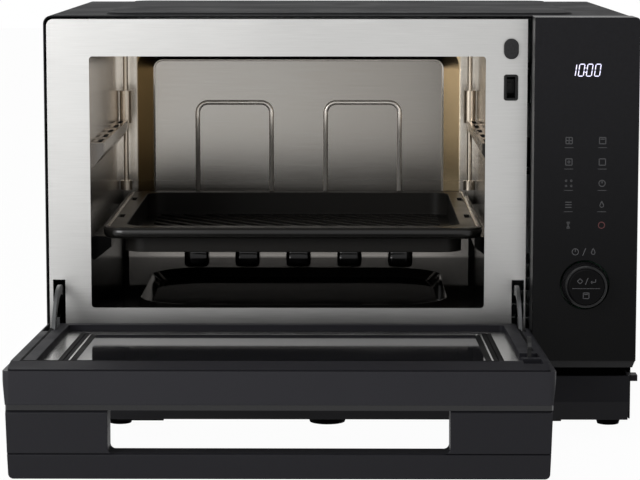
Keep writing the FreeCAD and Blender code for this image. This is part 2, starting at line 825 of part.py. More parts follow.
def lamp():
    """Oven light: a flanged glass in the ceiling and its housing."""
    x = CAVITY_RIGHT - LAMP_SIDE
    y = FACE + LAMP_FRONT
    bottom = CAVITY_TOP + s.cavity_wall
    flange = 2.0
    glass = rod("lamp_disc", LAMP_RADIUS, (x, y, CAVITY_TOP), s.cavity_wall + flange)
    rim = rod("lamp_rim", LAMP_RADIUS + 4, (x, y, bottom), flange)
    keep(fuse("lamp_lens", glass, rim))
    half = (LAMP_RADIUS + 8) * 2
    box = block("lamp_box", around(x, half), around(y, half), (bottom + flange, bottom + 24))
    hollow = rod("lamp_hollow", LAMP_RADIUS + 2, (x, y, bottom), 20)
    keep(cut("oven_lamp", box, hollow))


def cavity_floor():
    """Enamelled floor with a sloped pan, a seat for the glass plate and a row of stop bumps at the back."""
    owner = keep(body("cavity_floor", CAVITY_LEFT, FACE, FLOOR_UNDER))
    back = s.cavity_depth + s.back_recess + s.cavity_wall
    slab = sketch(owner, "floor_slab", "XY")
    rectangle(slab, (-s.cavity_wall, s.cavity_width + s.cavity_wall), (s.frame_wall, back))
    pad(owner, slab, s.floor_block)
    pan = sketch(owner, "floor_pan", "XY", s.floor_block)
    rectangle(pan, (s.pan_side, s.cavity_width - s.pan_side), (s.pan_front, s.pan_back), s.pan_radius)
    pocket(owner, pan, s.pan_depth, taper=-s.pan_slope)
    inset = s.pan_side + s.pan_depth
    radius = s.pan_radius - s.pan_depth
    seat = sketch(owner, "floor_seat", "XY", s.floor_block - s.pan_depth)
    rectangle(seat, (inset, s.cavity_width - inset),
              (s.pan_front + s.pan_depth, s.pan_back - s.pan_depth), radius)
    pocket(owner, seat, s.glass_plate)
    hole = sketch(owner, "floor_hole", "XY")
    rectangle(hole, (inset + SEAT_LEDGE, s.cavity_width - inset - SEAT_LEDGE),
              (s.pan_front + s.pan_depth + SEAT_LEDGE, s.pan_back - s.pan_depth - SEAT_LEDGE), radius)
    pocket(owner, hole, s.floor_block, ahead=True)
    skin = s.floor_skin
    under = sketch(owner, "floor_under", "XY")
    rectangle(under, (skin - s.cavity_wall, s.cavity_width + s.cavity_wall - skin),
              (s.frame_wall + skin, back - skin))
    rectangle(under, (s.pan_side - skin, s.cavity_width - s.pan_side + skin),
              (s.pan_front - skin, s.pan_back + skin), s.pan_radius)
    pocket(owner, under, s.floor_block - skin, ahead=True)
    bump = sketch(owner, "floor_bump", "XY", s.floor_block)
    first = s.cavity_width / 2 - s.bump_pitch * (BUMPS - 1) / 2
    rectangle(bump, around(first, s.bump_width),
              (s.cavity_depth - s.bump_depth, s.cavity_depth), s.bump_depth * 0.48)
    feature = pad(owner, bump, s.bump_height, taper=-s.bump_slope)
    row(owner, feature, "X", s.bump_pitch * (BUMPS - 1), BUMPS)


def floor_glass():
    """Glass ceramic plate that closes the antenna well."""
    owner = keep(body("floor_glass", CAVITY_LEFT, FACE, s.sill_height - s.pan_depth - s.glass_plate))
    inset = s.pan_side + s.pan_depth
    plate = sketch(owner, "glass_plate", "XY")
    rectangle(plate, (inset, s.cavity_width - inset),
              (s.pan_front + s.pan_depth, s.pan_back - s.pan_depth), s.pan_radius - s.pan_depth)
    pad(owner, plate, s.glass_plate)


def rack_post(name, x):
    """Rear corner post of the shelf rack: a rod with a collar at the upper shelf and an end cap."""
    owner = keep(body(name, x, FACE + s.cavity_depth - s.post_rear))
    radius = s.post_radius
    collar = radius + 3.4
    cap_top = s.post_bottom + 9
    sleeve = (s.upper_ledge - 3, s.upper_ledge + 28)
    profile = outline(sketch(owner, name + "_half", "XZ"), [
        (0, s.post_bottom), (collar, s.post_bottom), (collar, cap_top), (radius, cap_top),
        (radius, sleeve[0]), (collar, sleeve[0]), (collar, sleeve[1]), (radius, sleeve[1]),
        (radius, CAVITY_TOP), (0, CAVITY_TOP)])
    revolve(owner, profile, "Z")


def power_parts():
    """Microwave path under the floor: well, waveguide, magnetron, stirring antenna and its motor."""
    wall = s.cavity_wall
    y = FACE + s.antenna_front
    inset = s.pan_side + s.pan_depth
    well_x = (CAVITY_LEFT + inset, CAVITY_RIGHT - inset)
    well_y = (FACE + s.pan_front + s.pan_depth, FACE + s.pan_back - s.pan_depth)
    well = block("well_shell", well_x, well_y, (s.waveguide_top, FLOOR_UNDER))
    hollow = block("well_hollow", (well_x[0] + wall, well_x[1] - wall),
                   (well_y[0] + wall, well_y[1] - wall), (s.waveguide_top + wall, FLOOR_UNDER + 1))
    port = rod("well_port", s.antenna_shaft * 3, (CAVITY_MIDDLE, y, s.waveguide_bottom), 60)
    keep(cut("antenna_well", well, hollow, port))

    guide_x = (CAVITY_MIDDLE - s.waveguide_width / 2, LEFT + s.waveguide_end)
    guide_y = around(y, s.waveguide_width)
    guide = block("guide_shell", guide_x, guide_y, (s.waveguide_bottom, s.waveguide_top))
    inside = block("guide_hollow", (guide_x[0] + wall, guide_x[1] - wall),
                   (guide_y[0] + wall, guide_y[1] - wall),
                   (s.waveguide_bottom + wall, s.waveguide_top - wall))
    tube_x = BAY_MIDDLE
    feed = rod("guide_feed", DOME_RADIUS + 1, (tube_x, y, s.waveguide_top - wall * 2), wall * 3)
    shaft_port = rod("guide_port", s.antenna_shaft * 3, (CAVITY_MIDDLE, y, s.waveguide_top - wall * 2),
                     wall * 3)
    shaft_hole = rod("guide_hole", s.antenna_shaft + 1, (CAVITY_MIDDLE, y, s.waveguide_bottom - 1),
                     wall * 3)
    keep(cut("waveguide", guide, inside, feed, shaft_port, shaft_hole))

    base = s.waveguide_top
    span_x = around(tube_x, YOKE_WIDTH)
    span_y = around(y, YOKE_DEPTH)
    yoke = block("yoke_shell", span_x, span_y, (base, base + YOKE_HEIGHT))
    gap = block("yoke_gap", (span_x[0] + 2, span_x[1] - 2), (span_y[0] - 1, span_y[1] + 1),
                (base + 2, base + YOKE_HEIGHT - 2))
    frame = cut("yoke_frame", yoke, gap)
    core = prism("tube_core", TUBE_SIDES, YOKE_WIDTH * 0.24, (tube_x, y, base), YOKE_HEIGHT)
    dome = rod("tube_dome", DOME_RADIUS, (tube_x, y, base - DOME_HEIGHT), DOME_HEIGHT + 2)
    fins = []
    step = (YOKE_HEIGHT - 24) / (TUBE_FINS - 1)
    for number in range(TUBE_FINS):
        level = base + 12 + step * number
        fins.append(block(f"tube_fin_{number}", (span_x[0] + 2, span_x[1] - 2),
                          (span_y[0] + 6, span_y[1] - 6), (level, level + 0.8)))
    box_top = base + YOKE_HEIGHT + 22
    lid = block("tube_filter", around(tube_x, YOKE_WIDTH * 0.6), around(y, YOKE_DEPTH * 0.7),
                (base + YOKE_HEIGHT, box_top))
    keep(fuse("magnetron", frame, core, dome, lid, *fins))

    motor_top = s.waveguide_bottom
    can = rod("motor_can", MOTOR_RADIUS, (CAVITY_MIDDLE, y, BASE_TOP), motor_top - BASE_TOP)
    socket = rod("motor_socket", s.antenna_shaft + s.shaft_fit, (CAVITY_MIDDLE, y, motor_top - 8), 9)
    keep(cut("antenna_motor", can, socket))

    level = FLOOR_UNDER - 12
    disc = rod("paddle_disc", s.antenna_radius, (CAVITY_MIDDLE, y, level), 1.5)
    windows = []
    for number, (dx, dy) in enumerate(((-0.5, -0.1), (0.45, 0.25), (0.1, -0.55))):
        x0 = CAVITY_MIDDLE + s.antenna_radius * dx
        y0 = y + s.antenna_radius * dy
        windows.append(block(f"paddle_window_{number}", around(x0, s.antenna_radius * 0.4),
                             around(y0, s.antenna_radius * 0.22), (level - 1, level + 3)))
    paddle = cut("antenna_paddle", disc, *windows)
    shaft = rod("antenna_rod", s.antenna_shaft, (CAVITY_MIDDLE, y, motor_top - 7),
                level - motor_top + 9)
    keep(fuse("stirrer_antenna", paddle, shaft))


def inverter():
    """Power supply in the right bay: circuit board on stand-offs, transformer and finned heat sink."""
    x = (BAY_LEFT + BOARD_EDGE, INSIDE_RIGHT - BOARD_EDGE)
    y = (FACE + s.antenna_front + s.waveguide_width / 2 + SLOT_LENGTH / 2, FACE + s.depth - s.rear_gap)
    length = y[1] - y[0]
    level = BASE_TOP + BOARD_RISE
    board = block("inverter_sheet", x, y, (level, level + s.circuit_sheet))
    posts = []
    for number, (px, py) in enumerate(((0, 0), (0, 1), (1, 0), (1, 1))):
        centre_x = x[px] + BOARD_EDGE * (1 - 2 * px)
        centre_y = y[py] + BOARD_EDGE * (1 - 2 * py)
        posts.append(prism(f"inverter_post_{number}", 6, POST_RADIUS, (centre_x, centre_y, BASE_TOP),
                           level - BASE_TOP))
    top = level + s.circuit_sheet
    for number, share in enumerate((0.12, 0.3)):
        place = (x[1] - SLOT_LENGTH / 2, y[0] + length * share, top)
        posts.append(rod(f"inverter_can_{number}", BOSS * 2, place, SINK_HEIGHT))
    keep(fuse("inverter_board", board, *posts))
    core_x = (x[0] + FILTER_SIDE, x[0] + FILTER_SIDE + CORE_WIDTH)
    core_y = (y[0] + length * 0.08, y[0] + length * 0.5)
    core = block("transformer_core", core_x, core_y, (top, top + CORE_HEIGHT))
    coil = prism("transformer_coil", TUBE_SIDES, COIL_RADIUS,
                 (core_x[0] - BOARD_EDGE, y[0] + length * 0.29, top + CORE_HEIGHT / 2),
                 CORE_WIDTH + BOARD_EDGE * 2, "x")
    keep(fuse("transformer", core, coil))
    sink_x = (x[0] + FILTER_SIDE, x[1] - FILTER_SIDE)
    sink_y = (y[0] + length * 0.6, y[1] - BOARD_EDGE * 2)
    plate = block("sink_plate", sink_x, sink_y, (top, top + SLOT_WIDTH))
    fins = []
    step = (sink_x[1] - sink_x[0] - s.glass_plate) / (SINK_FINS - 1)
    for number in range(SINK_FINS):
        left = sink_x[0] + step * number
        fins.append(block(f"sink_fin_{number}", (left, left + s.glass_plate), sink_y,
                          (top, top + SINK_HEIGHT)))
    keep(fuse("heat_sink", plate, *fins))


def cooling_fan():
    """Axial fan on the rear panel: square duct, motor on a spider and a wheel with pitched blades."""
    x = BAY_MIDDLE
    z = s.fan_height
    outer = s.fan_radius + s.fan_gap
    front = INSIDE_BACK - s.fan_depth - 8
    duct = block("fan_block", around(x, outer * 2 + 6), (front, INSIDE_BACK), around(z, outer * 2 + 6))
    bore = rod("fan_bore", outer, (x, front - 1, z), s.fan_depth + 12, "y")
    keep(cut("fan_duct", duct, bore))
    can = rod("fan_can", FAN_HUB + 3, (x, front - FAN_MOTOR, z), FAN_MOTOR, "y")
    spider = [can, rod("fan_shaft", FAN_SHAFT, (x, front - 4, z), s.fan_depth + 4, "y")]
    for number, (dx, dz) in enumerate(((outer + 3, 4), (4, outer + 3))):
        spider.append(block(f"fan_arm_{number}", around(x, dx * 2), (front - 3, front), around(z, dz * 2)))
    keep(fuse("fan_motor", *spider))

    owner = keep(body("fan_wheel", x, front + 4, z))
    hub = circle(sketch(owner, "fan_hub", "XZ"), 0, 0, FAN_HUB)
    pad(owner, hub, s.fan_depth - 6, back=True)
    root = FAN_HUB - 3
    section = outline(sketch(owner, "fan_blade", "YZ", root), [
        (1, -FAN_SKEW), (3, -FAN_SKEW), (s.fan_depth - 7, FAN_SKEW), (s.fan_depth - 9, FAN_SKEW)])
    blade = pad(owner, section, s.fan_radius - root)
    wheel = owner.newObject("PartDesign::PolarPattern", "fan_blades")
    wheel.Originals = [blade]
    wheel.Axis = (origin_part(owner, "Y_Axis"), [""])
    wheel.Angle = 360
    wheel.Occurrences = FAN_BLADES
    owner.Tip = wheel
    hole = circle(sketch(owner, "fan_hole", "XZ", 1), 0, 0, s.shaft_fit + FAN_SHAFT)
    pocket(owner, hole, s.fan_depth + 4)


def filter_board():
    """Mains filter on stand-offs against the rear panel."""
    x = (BAY_LEFT + FILTER_SIDE, BAY_LEFT + FILTER_SIDE + FILTER_WIDTH)
    z = (BASE_TOP + FILTER_RISE, BASE_TOP + FILTER_RISE + FILTER_HEIGHT)
    y = INSIDE_BACK - FILTER_POST
    sheet = block("filter_sheet", x, (y - s.circuit_sheet, y), z)
    items = [sheet, rod("filter_coil", 11, ((x[0] + x[1]) / 2, y - s.circuit_sheet - 14, z[0] + 20), 14, "y"),
             block("filter_box", (x[0] + 8, x[0] + 30), (y - 18, y - s.circuit_sheet), (z[1] - 20, z[1] - 6))]
    for number, (px, pz) in enumerate(((0, 0), (0, 1), (1, 0), (1, 1))):
        corner = (x[px] + BOARD_EDGE * (1 - 2 * px), y, z[pz] + BOARD_EDGE * (1 - 2 * pz))
        items.append(prism(f"filter_post_{number}", 6, POST_RADIUS, corner, FILTER_POST, "y"))
    keep(fuse("filter_board", *items))


def casing_screws():
    """Six screws that hold the rear panel's edge."""
    items = []
    back = FACE + s.depth
    for number in range(6):
        x = INSIDE_LEFT + SCREW_INSET if number % 2 else INSIDE_RIGHT - SCREW_INSET
        z = s.height * (0.12 + 0.38 * (number // 2))
        items.append(rod(f"casing_screw_{number}", SCREW_HEAD, (x, back, z), 2, "y"))
    keep(fuse("casing_screws", *items))


def control_housing():
    """Moulded box behind the control glass, open at the back, with board bosses and a bottom lip."""
    owner = keep(body("control_housing", PANEL_LEFT, FACE))
    width = s.panel_width
    bottom = s.panel_bottom - s.panel_lip
    reach = s.panel_reach - s.panel_glass
    radius = s.panel_radius
    shape = outline(sketch(owner, "housing_shape", "XZ"), [
        (0, bottom), (width - s.panel_lip * 0.4, bottom), (width, s.panel_bottom),
        (width, s.height, radius), (0, s.height)])
    pad(owner, shape, reach)
    wall = s.panel_wall
    hollow = outline(sketch(owner, "housing_hollow", "XZ"), [
        (wall, bottom + wall), (width - s.panel_lip, bottom + wall),
        (width - wall, s.panel_bottom + wall), (width - wall, s.height - wall), (wall, s.height - wall)])
    pocket(owner, hollow, reach - wall, ahead=True)
    windows = sketch(owner, "housing_windows", "XZ", reach)
    circle(windows, width / 2, s.dial_height, s.dial_radius + s.dial_gap)
    rectangle(windows, around(width / 2, DISPLAY_WIDTH), around(s.height - DISPLAY_DROP, DISPLAY_HEIGHT))
    pocket(owner, windows, wall * 2)
    bosses = sketch(owner, "housing_bosses", "XZ", BOARD_SETBACK)
    for u in (wall + BOSS * 2, width - wall - BOSS * 2):
        for v in (s.panel_bottom + BOSS * 4, s.height - wall - BOSS * 3):
            rectangle(bosses, around(u, BOSS * 2), around(v, BOSS * 2))
    pad(owner, bosses, reach - wall - BOARD_SETBACK)


def control_glass():
    """Front glass of the control panel with the dial hole."""
    owner = keep(body("control_glass", PANEL_LEFT, PANEL_BACK))
    radius = s.panel_radius
    shape = outline(sketch(owner, "control_sheet", "XZ"), [
        (0, s.panel_bottom), (s.panel_width, s.panel_bottom),
        (s.panel_width, s.height, radius), (0, s.height)])
    pad(owner, shape, s.panel_glass)
    hole = circle(sketch(owner, "control_hole", "XZ"), s.panel_width / 2, s.dial_height,
                  s.dial_radius + s.dial_gap)
    pocket(owner, hole, s.panel_glass, ahead=True)


def control_electronics():
    """Control board on the housing's bosses, display, and encoder under the dial."""
    board_front = FACE - BOARD_SETBACK
    x = (PANEL_LEFT + s.panel_wall + 1, PANEL_LEFT + s.panel_width - s.panel_wall - 1)
    board = block("board_sheet", x, (board_front, board_front + s.circuit_sheet),
                  (s.panel_bottom + BOSS, s.height - s.panel_wall - 2))
    relay = block("board_relay", around(DIAL_X, 24),
                  (board_front + s.circuit_sheet, board_front + s.circuit_sheet + 12),
                  around(s.height * 0.55, 30))
    keep(fuse("control_board", board, relay))
    inside = PANEL_BACK + s.panel_wall
    keep(block("display_module", around(DIAL_X, DISPLAY_WIDTH + 6), (inside, board_front),
               around(s.height - DISPLAY_DROP, DISPLAY_HEIGHT + 6)))
    shaft_front = PANEL_FRONT - DIAL_WEB
    case = block("encoder_case", around(DIAL_X, 16), (board_front - 7, board_front),
                 around(s.dial_height, 16))
    shaft = rod("encoder_tube", ENCODER_TUBE, (DIAL_X, shaft_front, s.dial_height),
                board_front - 2 - shaft_front, "y")
    bore = rod("encoder_bore", STEM + s.shaft_fit, (DIAL_X, shaft_front - 1, s.dial_height),
               board_front - 1 - shaft_front, "y")
    keep(cut("dial_encoder", fuse("encoder_solid", case, shaft), bore))


def dial():
    """Turning ring of the dial and the push button in its middle."""
    owner = keep(body("dial_ring", DIAL_X, PANEL_FRONT, s.dial_height))
    bore = s.button_radius + s.button_gap
    tip = s.dial_radius - 1.8
    front = -s.dial_reach
    ring = outline(sketch(owner, "ring_half", "XY"), [
        (s.shaft_fit + ENCODER_TUBE, 0), (s.shaft_fit + ENCODER_TUBE, -DIAL_WEB), (bore, -DIAL_WEB),
        (bore, front), (tip - 1, front), (tip, front + 1), (s.dial_radius, 1), (s.dial_radius - 2, 1),
        (s.dial_radius - 2, 0)])
    revolve(owner, ring, "Y")
    button = keep(body("dial_button", DIAL_X, PANEL_FRONT, s.dial_height))
    face = front - 0.6
    under = -(DIAL_WEB + s.button_travel + 0.6)
    half = outline(sketch(button, "button_half", "XY"), [
        (0, face), (s.button_radius - 1.2, face), (s.button_radius, face + 1), (s.button_radius, under),
        (STEM, under), (STEM, s.panel_glass + 2), (0, s.panel_glass + 2)])
    revolve(button, half, "Y")


def latch_bezel():
    """Black plastic mouth of the door latch in the front frame."""
    owner = keep(body("latch_bezel", LEFT + s.latch_centre, FACE, s.latch_height))
    wide, tall = s.latch_bezel_width / 2, s.latch_bezel_height / 2
    rim = sketch(owner, "bezel_rim", "XZ")
    rectangle(rim, (-wide, wide), (-tall, tall), s.latch_bezel_width * 0.18)
    pad(owner, rim, LIP)
    neck = sketch(owner, "bezel_neck", "XZ")
    rectangle(neck, (LIP - wide, wide - LIP), (LIP - tall, tall - LIP))
    pad(owner, neck, BEZEL_NECK, back=True)
    mouth = sketch(owner, "bezel_mouth", "XZ")
    wide, tall = s.latch_slot_width / 2, s.latch_slot_height / 2
    rectangle(mouth, (-wide, wide), (-tall, tall))
    item = pocket(owner, mouth)
    item.Midplane = True


def latch_switches():
    """Interlock behind the latch mouth: bracket on the frame and two switches."""
    back = FACE + s.frame_wall
    low = s.latch_height - s.latch_bezel_height / 2 - 54
    x_arm = LEFT + s.latch_centre + s.latch_bezel_width / 2 + 0.5
    plate = block("bracket_plate", (x_arm - 18, x_arm), (back, back + 2), (low, low + 46))
    arm = block("bracket_arm", (x_arm, x_arm + 2.5), (back, back + 42), (low, s.latch_height + 10))
    keep(fuse("latch_bracket", plate, arm))
    switches = []
    for number, level in enumerate((s.latch_height, s.latch_height - 30)):
        switches.append(block(f"switch_{number}", (x_arm - 12, x_arm), (back + 19, back + 39),
                              around(level, 12)))
        switches.append(block(f"switch_lever_{number}", (x_arm - 9, x_arm - 4), (back + 17.5, back + 19),
                              around(level, 6)))
    keep(fuse("door_switches", *switches))


def door_bumper():
    """Oval rubber stop that the closed door meets."""
    owner = keep(body("door_bumper", LEFT + s.latch_centre, FACE, s.bumper_height))
    pill = sketch(owner, "bumper_pill", "XZ")
    rectangle(pill, (-BUMPER_WIDTH / 2, BUMPER_WIDTH / 2), (-BUMPER_TALL / 2, BUMPER_TALL / 2),
              BUMPER_WIDTH * 0.49)
    pad(owner, pill, s.bumper_proud)
    stem = circle(sketch(owner, "bumper_stem", "XZ"), 0, 0, BUMPER_STEM)
    pad(owner, stem, s.frame_wall + 3, back=True)


def hinge_bracket(name, centre, inward):
    """Bracket through the frame slot that carries one hinge pin."""
    outer = LEFT + centre - s.hinge_plate * inward
    plate_x = sorted((outer, outer + s.hinge_plate * inward), key=float)
    back = FACE + s.frame_wall
    reach = block(name + "_reach", plate_x, (HINGE_Y, back + 24), around(s.hinge_height, s.hub_radius * 2))
    nose = rod(name + "_nose", s.hub_radius, (plate_x[0], HINGE_Y, s.hinge_height), s.hinge_plate, "x")
    low = s.frame_bottom
    foot_x = sorted((outer, outer - HINGE_FOOT * inward), key=float)
    foot = block(name + "_foot", foot_x, (back, back + 2.5), (low + 2, low + 40))
    rib = block(name + "_rib", plate_x, (back, back + 24), (low + 2, low + 40))
    tip = LEFT + centre + (s.hinge_plate + HINGE_PLAY / 2) * inward
    pin_x = sorted((outer, tip), key=float)
    pin = rod(name + "_pin", s.hinge_pin, (pin_x[0], HINGE_Y, s.hinge_height), pin_x[1] - pin_x[0], "x")
    keep(fuse(name, reach, nose, foot, rib, pin))


def hinge_arm(name, centre, inward):
    """Door hinge: a hub on the pin, a mounting leaf in the door and a curved horn through the frame."""
    owner = keep(body(name))
    hang_on_hinge(owner)
    near = centre + HINGE_PLAY * inward
    low = near if inward > 0 else near - s.hinge_plate
    hub = circle(sketch(owner, name + "_hub", "YZ", low), 0, 0, s.hub_radius)
    pad(owner, hub, s.hinge_plate)
    leaf = sketch(owner, name + "_leaf", "YZ", low)
    rectangle(leaf, (-s.hub_radius * 0.7, s.hub_radius * 0.7), (0, s.horn_outer + 10))
    pad(owner, leaf, s.hinge_plate)
    horn = sketch(owner, name + "_horn", "YZ", low)
    tie_ring_sector(horn, s.horn_inner, s.horn_outer, s.horn_start, s.horn_end)
    pad(owner, horn, s.hinge_plate)
    bore = circle(sketch(owner, name + "_bore", "YZ", low + s.hinge_plate), 0, 0, s.hinge_pin + s.shaft_fit)
    pocket(owner, bore)


def tie_ring_sector(item, inner, outer, start, end):
    """Sector of a ring about the sketch origin, its angles counted in the open pose from the front."""
    turn = float(s.door_angle)
    angles = [math.radians(180 - float(angle) - turn) for angle in (end, start)]
    centre = Vector()
    arcs = []
    for radius in (inner, outer):
        shape = Part.Circle(centre, Vector(0, 0, 1), float(radius))
        arc = item.addGeometry(Part.ArcOfCircle(shape, *angles), False)
        item.addConstraint(Sketcher.Constraint("Coincident", arc, 3, -1, 1))
        tie_radius(item, arc, radius)
        arcs.append(arc)
    for point, angle in ((1, angles[0]), (2, angles[1])):
        along = Vector(math.cos(angle), math.sin(angle), 0)
        line = item.addGeometry(Part.LineSegment(along * float(inner), along * float(outer)), False)
        item.addConstraint(Sketcher.Constraint("Coincident", line, 1, arcs[0], point))
        item.addConstraint(Sketcher.Constraint("Coincident", line, 2, arcs[1], point))
        limit = start if point == 2 else end
        rule = Sketcher.Constraint("Angle", -1, 1, line, 1, angle)
        index = item.addConstraint(rule)
        bind(item, f"Constraints[{index}]", 180 - limit - s.door_angle)


def door_shell():
    """Moulded tray of the door: tapered outside, hollow inside, with notches for the hinges."""
    owner = keep(body("door_shell"))
    hang_on_hinge(owner)
    top = s.door_rise
    split = s.door_split
    glass = s.door_front - s.front_glass
    draft = s.shell_draft
    width = s.door_width
    slab = sketch(owner, "shell_slab", "XZ", -split)
    outline(slab, [(0, -s.door_drop), (width, -s.door_drop), (width, top, SHELL_CORNER),
                   (0, top, SHELL_CORNER)])
    pad(owner, slab, split + glass)
    sides = sketch(owner, "shell_sides", "XY", top)
    for edge, tip in ((0, draft), (width, width - draft)):
        outline(sides, [(edge, split - 6), (edge, -glass), (tip, -glass)])
    pocket(owner, sides)
    hollow = sketch(owner, "shell_hollow", "XZ", -split)
    wall = s.shell_wall + draft
    rectangle(hollow, (wall, width - wall), (s.hub_radius + 8, top - s.shell_wall), s.shell_wall)
    pocket(owner, hollow, split + glass - s.shell_wall, ahead=True)
    window = sketch(owner, "shell_window", "XZ", -split)
    edge = s.inner_side + s.inner_band + s.steel_band
    rectangle(window, (edge, width - edge), (s.inner_start + s.inner_sill + s.steel_band,
                                             top - s.inner_cap - s.steel_band), s.shell_wall)
    pocket(owner, window, ahead=True)
    hinge_notches(owner, "shell")
    latch_cheeks(owner)


def latch_cheeks(owner):
    """Two cheeks on the floor of the shell with bores for the latch hook's pivot."""
    level = s.latch_height - s.hinge_height
    floor = s.door_front - s.front_glass - s.shell_wall
    inside = s.latch_hook / 2 + HOOK_BOSS + 0.2
    outside = inside + HOOK_CHEEK + 1.5
    cheeks = sketch(owner, "shell_cheeks", "XZ", floor)
    for sides in ((-outside, -inside), (inside, outside)):
        rectangle(cheeks, (s.latch_centre + sides[0], s.latch_centre + sides[1]), around(level, 14))
    pad(owner, cheeks, floor + 5, back=True)
    bore = sketch(owner, "shell_pivot", "YZ", s.latch_centre + inside + HOOK_CHEEK)
    circle(bore, 0, level, HOOK_PIN + s.shaft_fit)
    pocket(owner, bore, (inside + HOOK_CHEEK) * 2)


def hinge_notches(owner, name):
    """Room round both hinge pins, open to the inside and to the bottom of the door."""
    notch = sketch(owner, name + "_notch", "XZ", -DOOR_INSIDE - 1)
    for centre, inward in zip(HINGE_CENTRES, (1, -1)):
        seat = centre + (s.hinge_plate + HINGE_PLAY) * inward
        rectangle(notch, sorted((seat, seat - NOTCH_WIDTH * inward), key=float),
                  (-s.door_drop - 1, s.horn_outer + 12))
    pocket(owner, notch, DOOR_INSIDE + 1 + s.hub_radius + 2, ahead=True)


def door_front_glass():
    """Outer glass of the door, up to the handle's lower edge."""
    owner = keep(body("door_front_glass"))
    hang_on_hinge(owner)
    side = s.shell_draft
    pane = sketch(owner, "front_pane", "XZ", s.door_front - s.front_glass)
    rectangle(pane, (side, s.door_width - side), (-s.door_drop, s.door_rise), s.panel_radius)
    pad(owner, pane, s.front_glass)


def door_handle():
    """Handle moulding along the door's upper edge: two end blocks, a bar and the gap for the fingers."""
    owner = keep(body("door_handle"))
    hang_on_hinge(owner)
    top = s.door_rise
    low = top - s.handle_height
    base = -s.door_front
    tip = base - s.handle_reach
    left, right = s.handle_side, s.door_width - s.handle_side
    draft = s.handle_draft
    shape = outline(sketch(owner, "handle_shape", "XY", low), [
        (left, base), (left + draft, tip, s.panel_radius), (right - draft, tip, s.panel_radius),
        (right, base)])
    pad(owner, shape, s.handle_height)
    gap = outline(sketch(owner, "handle_gap", "XY", low), [
        (left + s.handle_block, base), (right - s.handle_block, base),
        (right - s.handle_block, tip + s.handle_bar, s.panel_radius),
        (left + s.handle_block, tip + s.handle_bar, s.panel_radius)])
    pocket(owner, gap, s.handle_height, ahead=True)
    joint = tip + s.handle_bar
    seams = sketch(owner, "handle_seams", "YZ", 0)
    outline(seams, [(joint - SEAM, top), (tip, top), (tip, top - draft)])
    outline(seams, [(joint, top), (joint - SEAM / 2, top), (joint, top - SEAM)])
    outline(seams, [(base, top), (base - SEAM, top), (base, top - SEAM)])
    pocket(owner, seams, s.door_width, ahead=True)


def door_inner_frame():
    """Dark frame round the inside of the door with a sloped cap along the upper edge."""
    owner = keep(body("door_inner_frame"))
    hang_on_hinge(owner)
    side = s.inner_side
    width = s.door_width
    band = s.inner_band
    split = s.door_split
    low = s.inner_start
    ring = sketch(owner, "ring_outer", "XZ", -split)
    rectangle(ring, (side, width - side), (low, s.door_rise - 1), s.panel_radius)
    pad(owner, ring, DOOR_INSIDE - split, back=True)
    cap = s.door_rise - s.inner_cap
    hole = sketch(owner, "ring_hole", "XZ", -DOOR_INSIDE)
    rectangle(hole, (side + band, width - side - band), (low + s.inner_sill, cap), s.panel_radius)
    pocket(owner, hole, DOOR_INSIDE - split, ahead=True)
    slope = sketch(owner, "ring_slope", "YZ", 0)
    outline(slope, [(DOOR_INSIDE, cap + 3), (DOOR_INSIDE, s.door_rise), (split + 1, s.door_rise)])
    pocket(owner, slope, width, ahead=True)
    hinge_notches(owner, "ring")
    cuts = sketch(owner, "ring_cuts", "XZ", -DOOR_INSIDE)
    rectangle(cuts, around(s.latch_centre, s.latch_slot_width),
              around(s.latch_height - s.hinge_height, s.latch_slot_height))
    pocket(owner, cuts, DOOR_INSIDE - split, ahead=True)
    dent = sketch(owner, "ring_dent", "XZ", -DOOR_INSIDE)
    rectangle(dent, around(s.latch_centre, BUMPER_WIDTH + DENT_ROOM),
              around(s.bumper_height - s.hinge_height, BUMPER_TALL + DENT_ROOM))
    rectangle(dent, around(s.latch_centre, s.latch_bezel_width + DENT_ROOM),
              around(s.latch_height - s.hinge_height, s.latch_bezel_height + DENT_ROOM))
    pocket(owner, dent, s.bumper_proud + s.seal_gap, ahead=True)


def door_liner():
    """Inside of the door: steel panel with a pressed groove, inner glass and the perforated screen sheet."""
    side = s.inner_side + s.inner_band
    width = s.door_width
    low = s.inner_start + s.inner_sill
    high = s.door_rise - s.inner_cap
    back = s.door_split
    front = back - s.steel_sheet
    lap = LINER_LAP
    owner = keep(body("door_steel_panel"))
    hang_on_hinge(owner)
    sheet = sketch(owner, "steel_sheet", "XZ", -front)
    rectangle(sheet, (side - lap, width - side), (low - SILL_LAP, high + lap), s.panel_radius)
    pad(owner, sheet, s.steel_sheet, back=True)
    window = sketch(owner, "steel_window", "XZ", -back)
    band = s.steel_band
    rectangle(window, (side + band, width - side - band), (low + band, high - band), s.panel_radius)
    pocket(owner, window, s.steel_sheet, ahead=True)
    groove = sketch(owner, "steel_groove", "XZ", -back)
    for inset in (GROOVE_START, GROOVE_START + GROOVE_WIDTH):
        rectangle(groove, (side + inset, width - side - inset), (low + inset, high - inset), s.panel_radius)
    pocket(owner, groove, s.steel_sheet * 0.6, ahead=True)

    pane = keep(body("door_inner_glass"))
    hang_on_hinge(pane)
    glass = sketch(pane, "inner_pane", "XZ", -front)
    rectangle(glass, (side + band, width - side - band), (low + band, high - band), s.panel_radius)
    pad(pane, glass, s.steel_sheet - PANE_SETBACK, back=True)

    screen = keep(body("door_screen"))
    hang_on_hinge(screen)
    mesh = sketch(screen, "screen_sheet", "XZ", -front)
    rectangle(mesh, (side, width - side), (low, high), s.panel_radius)
    pad(screen, mesh, s.screen_sheet)


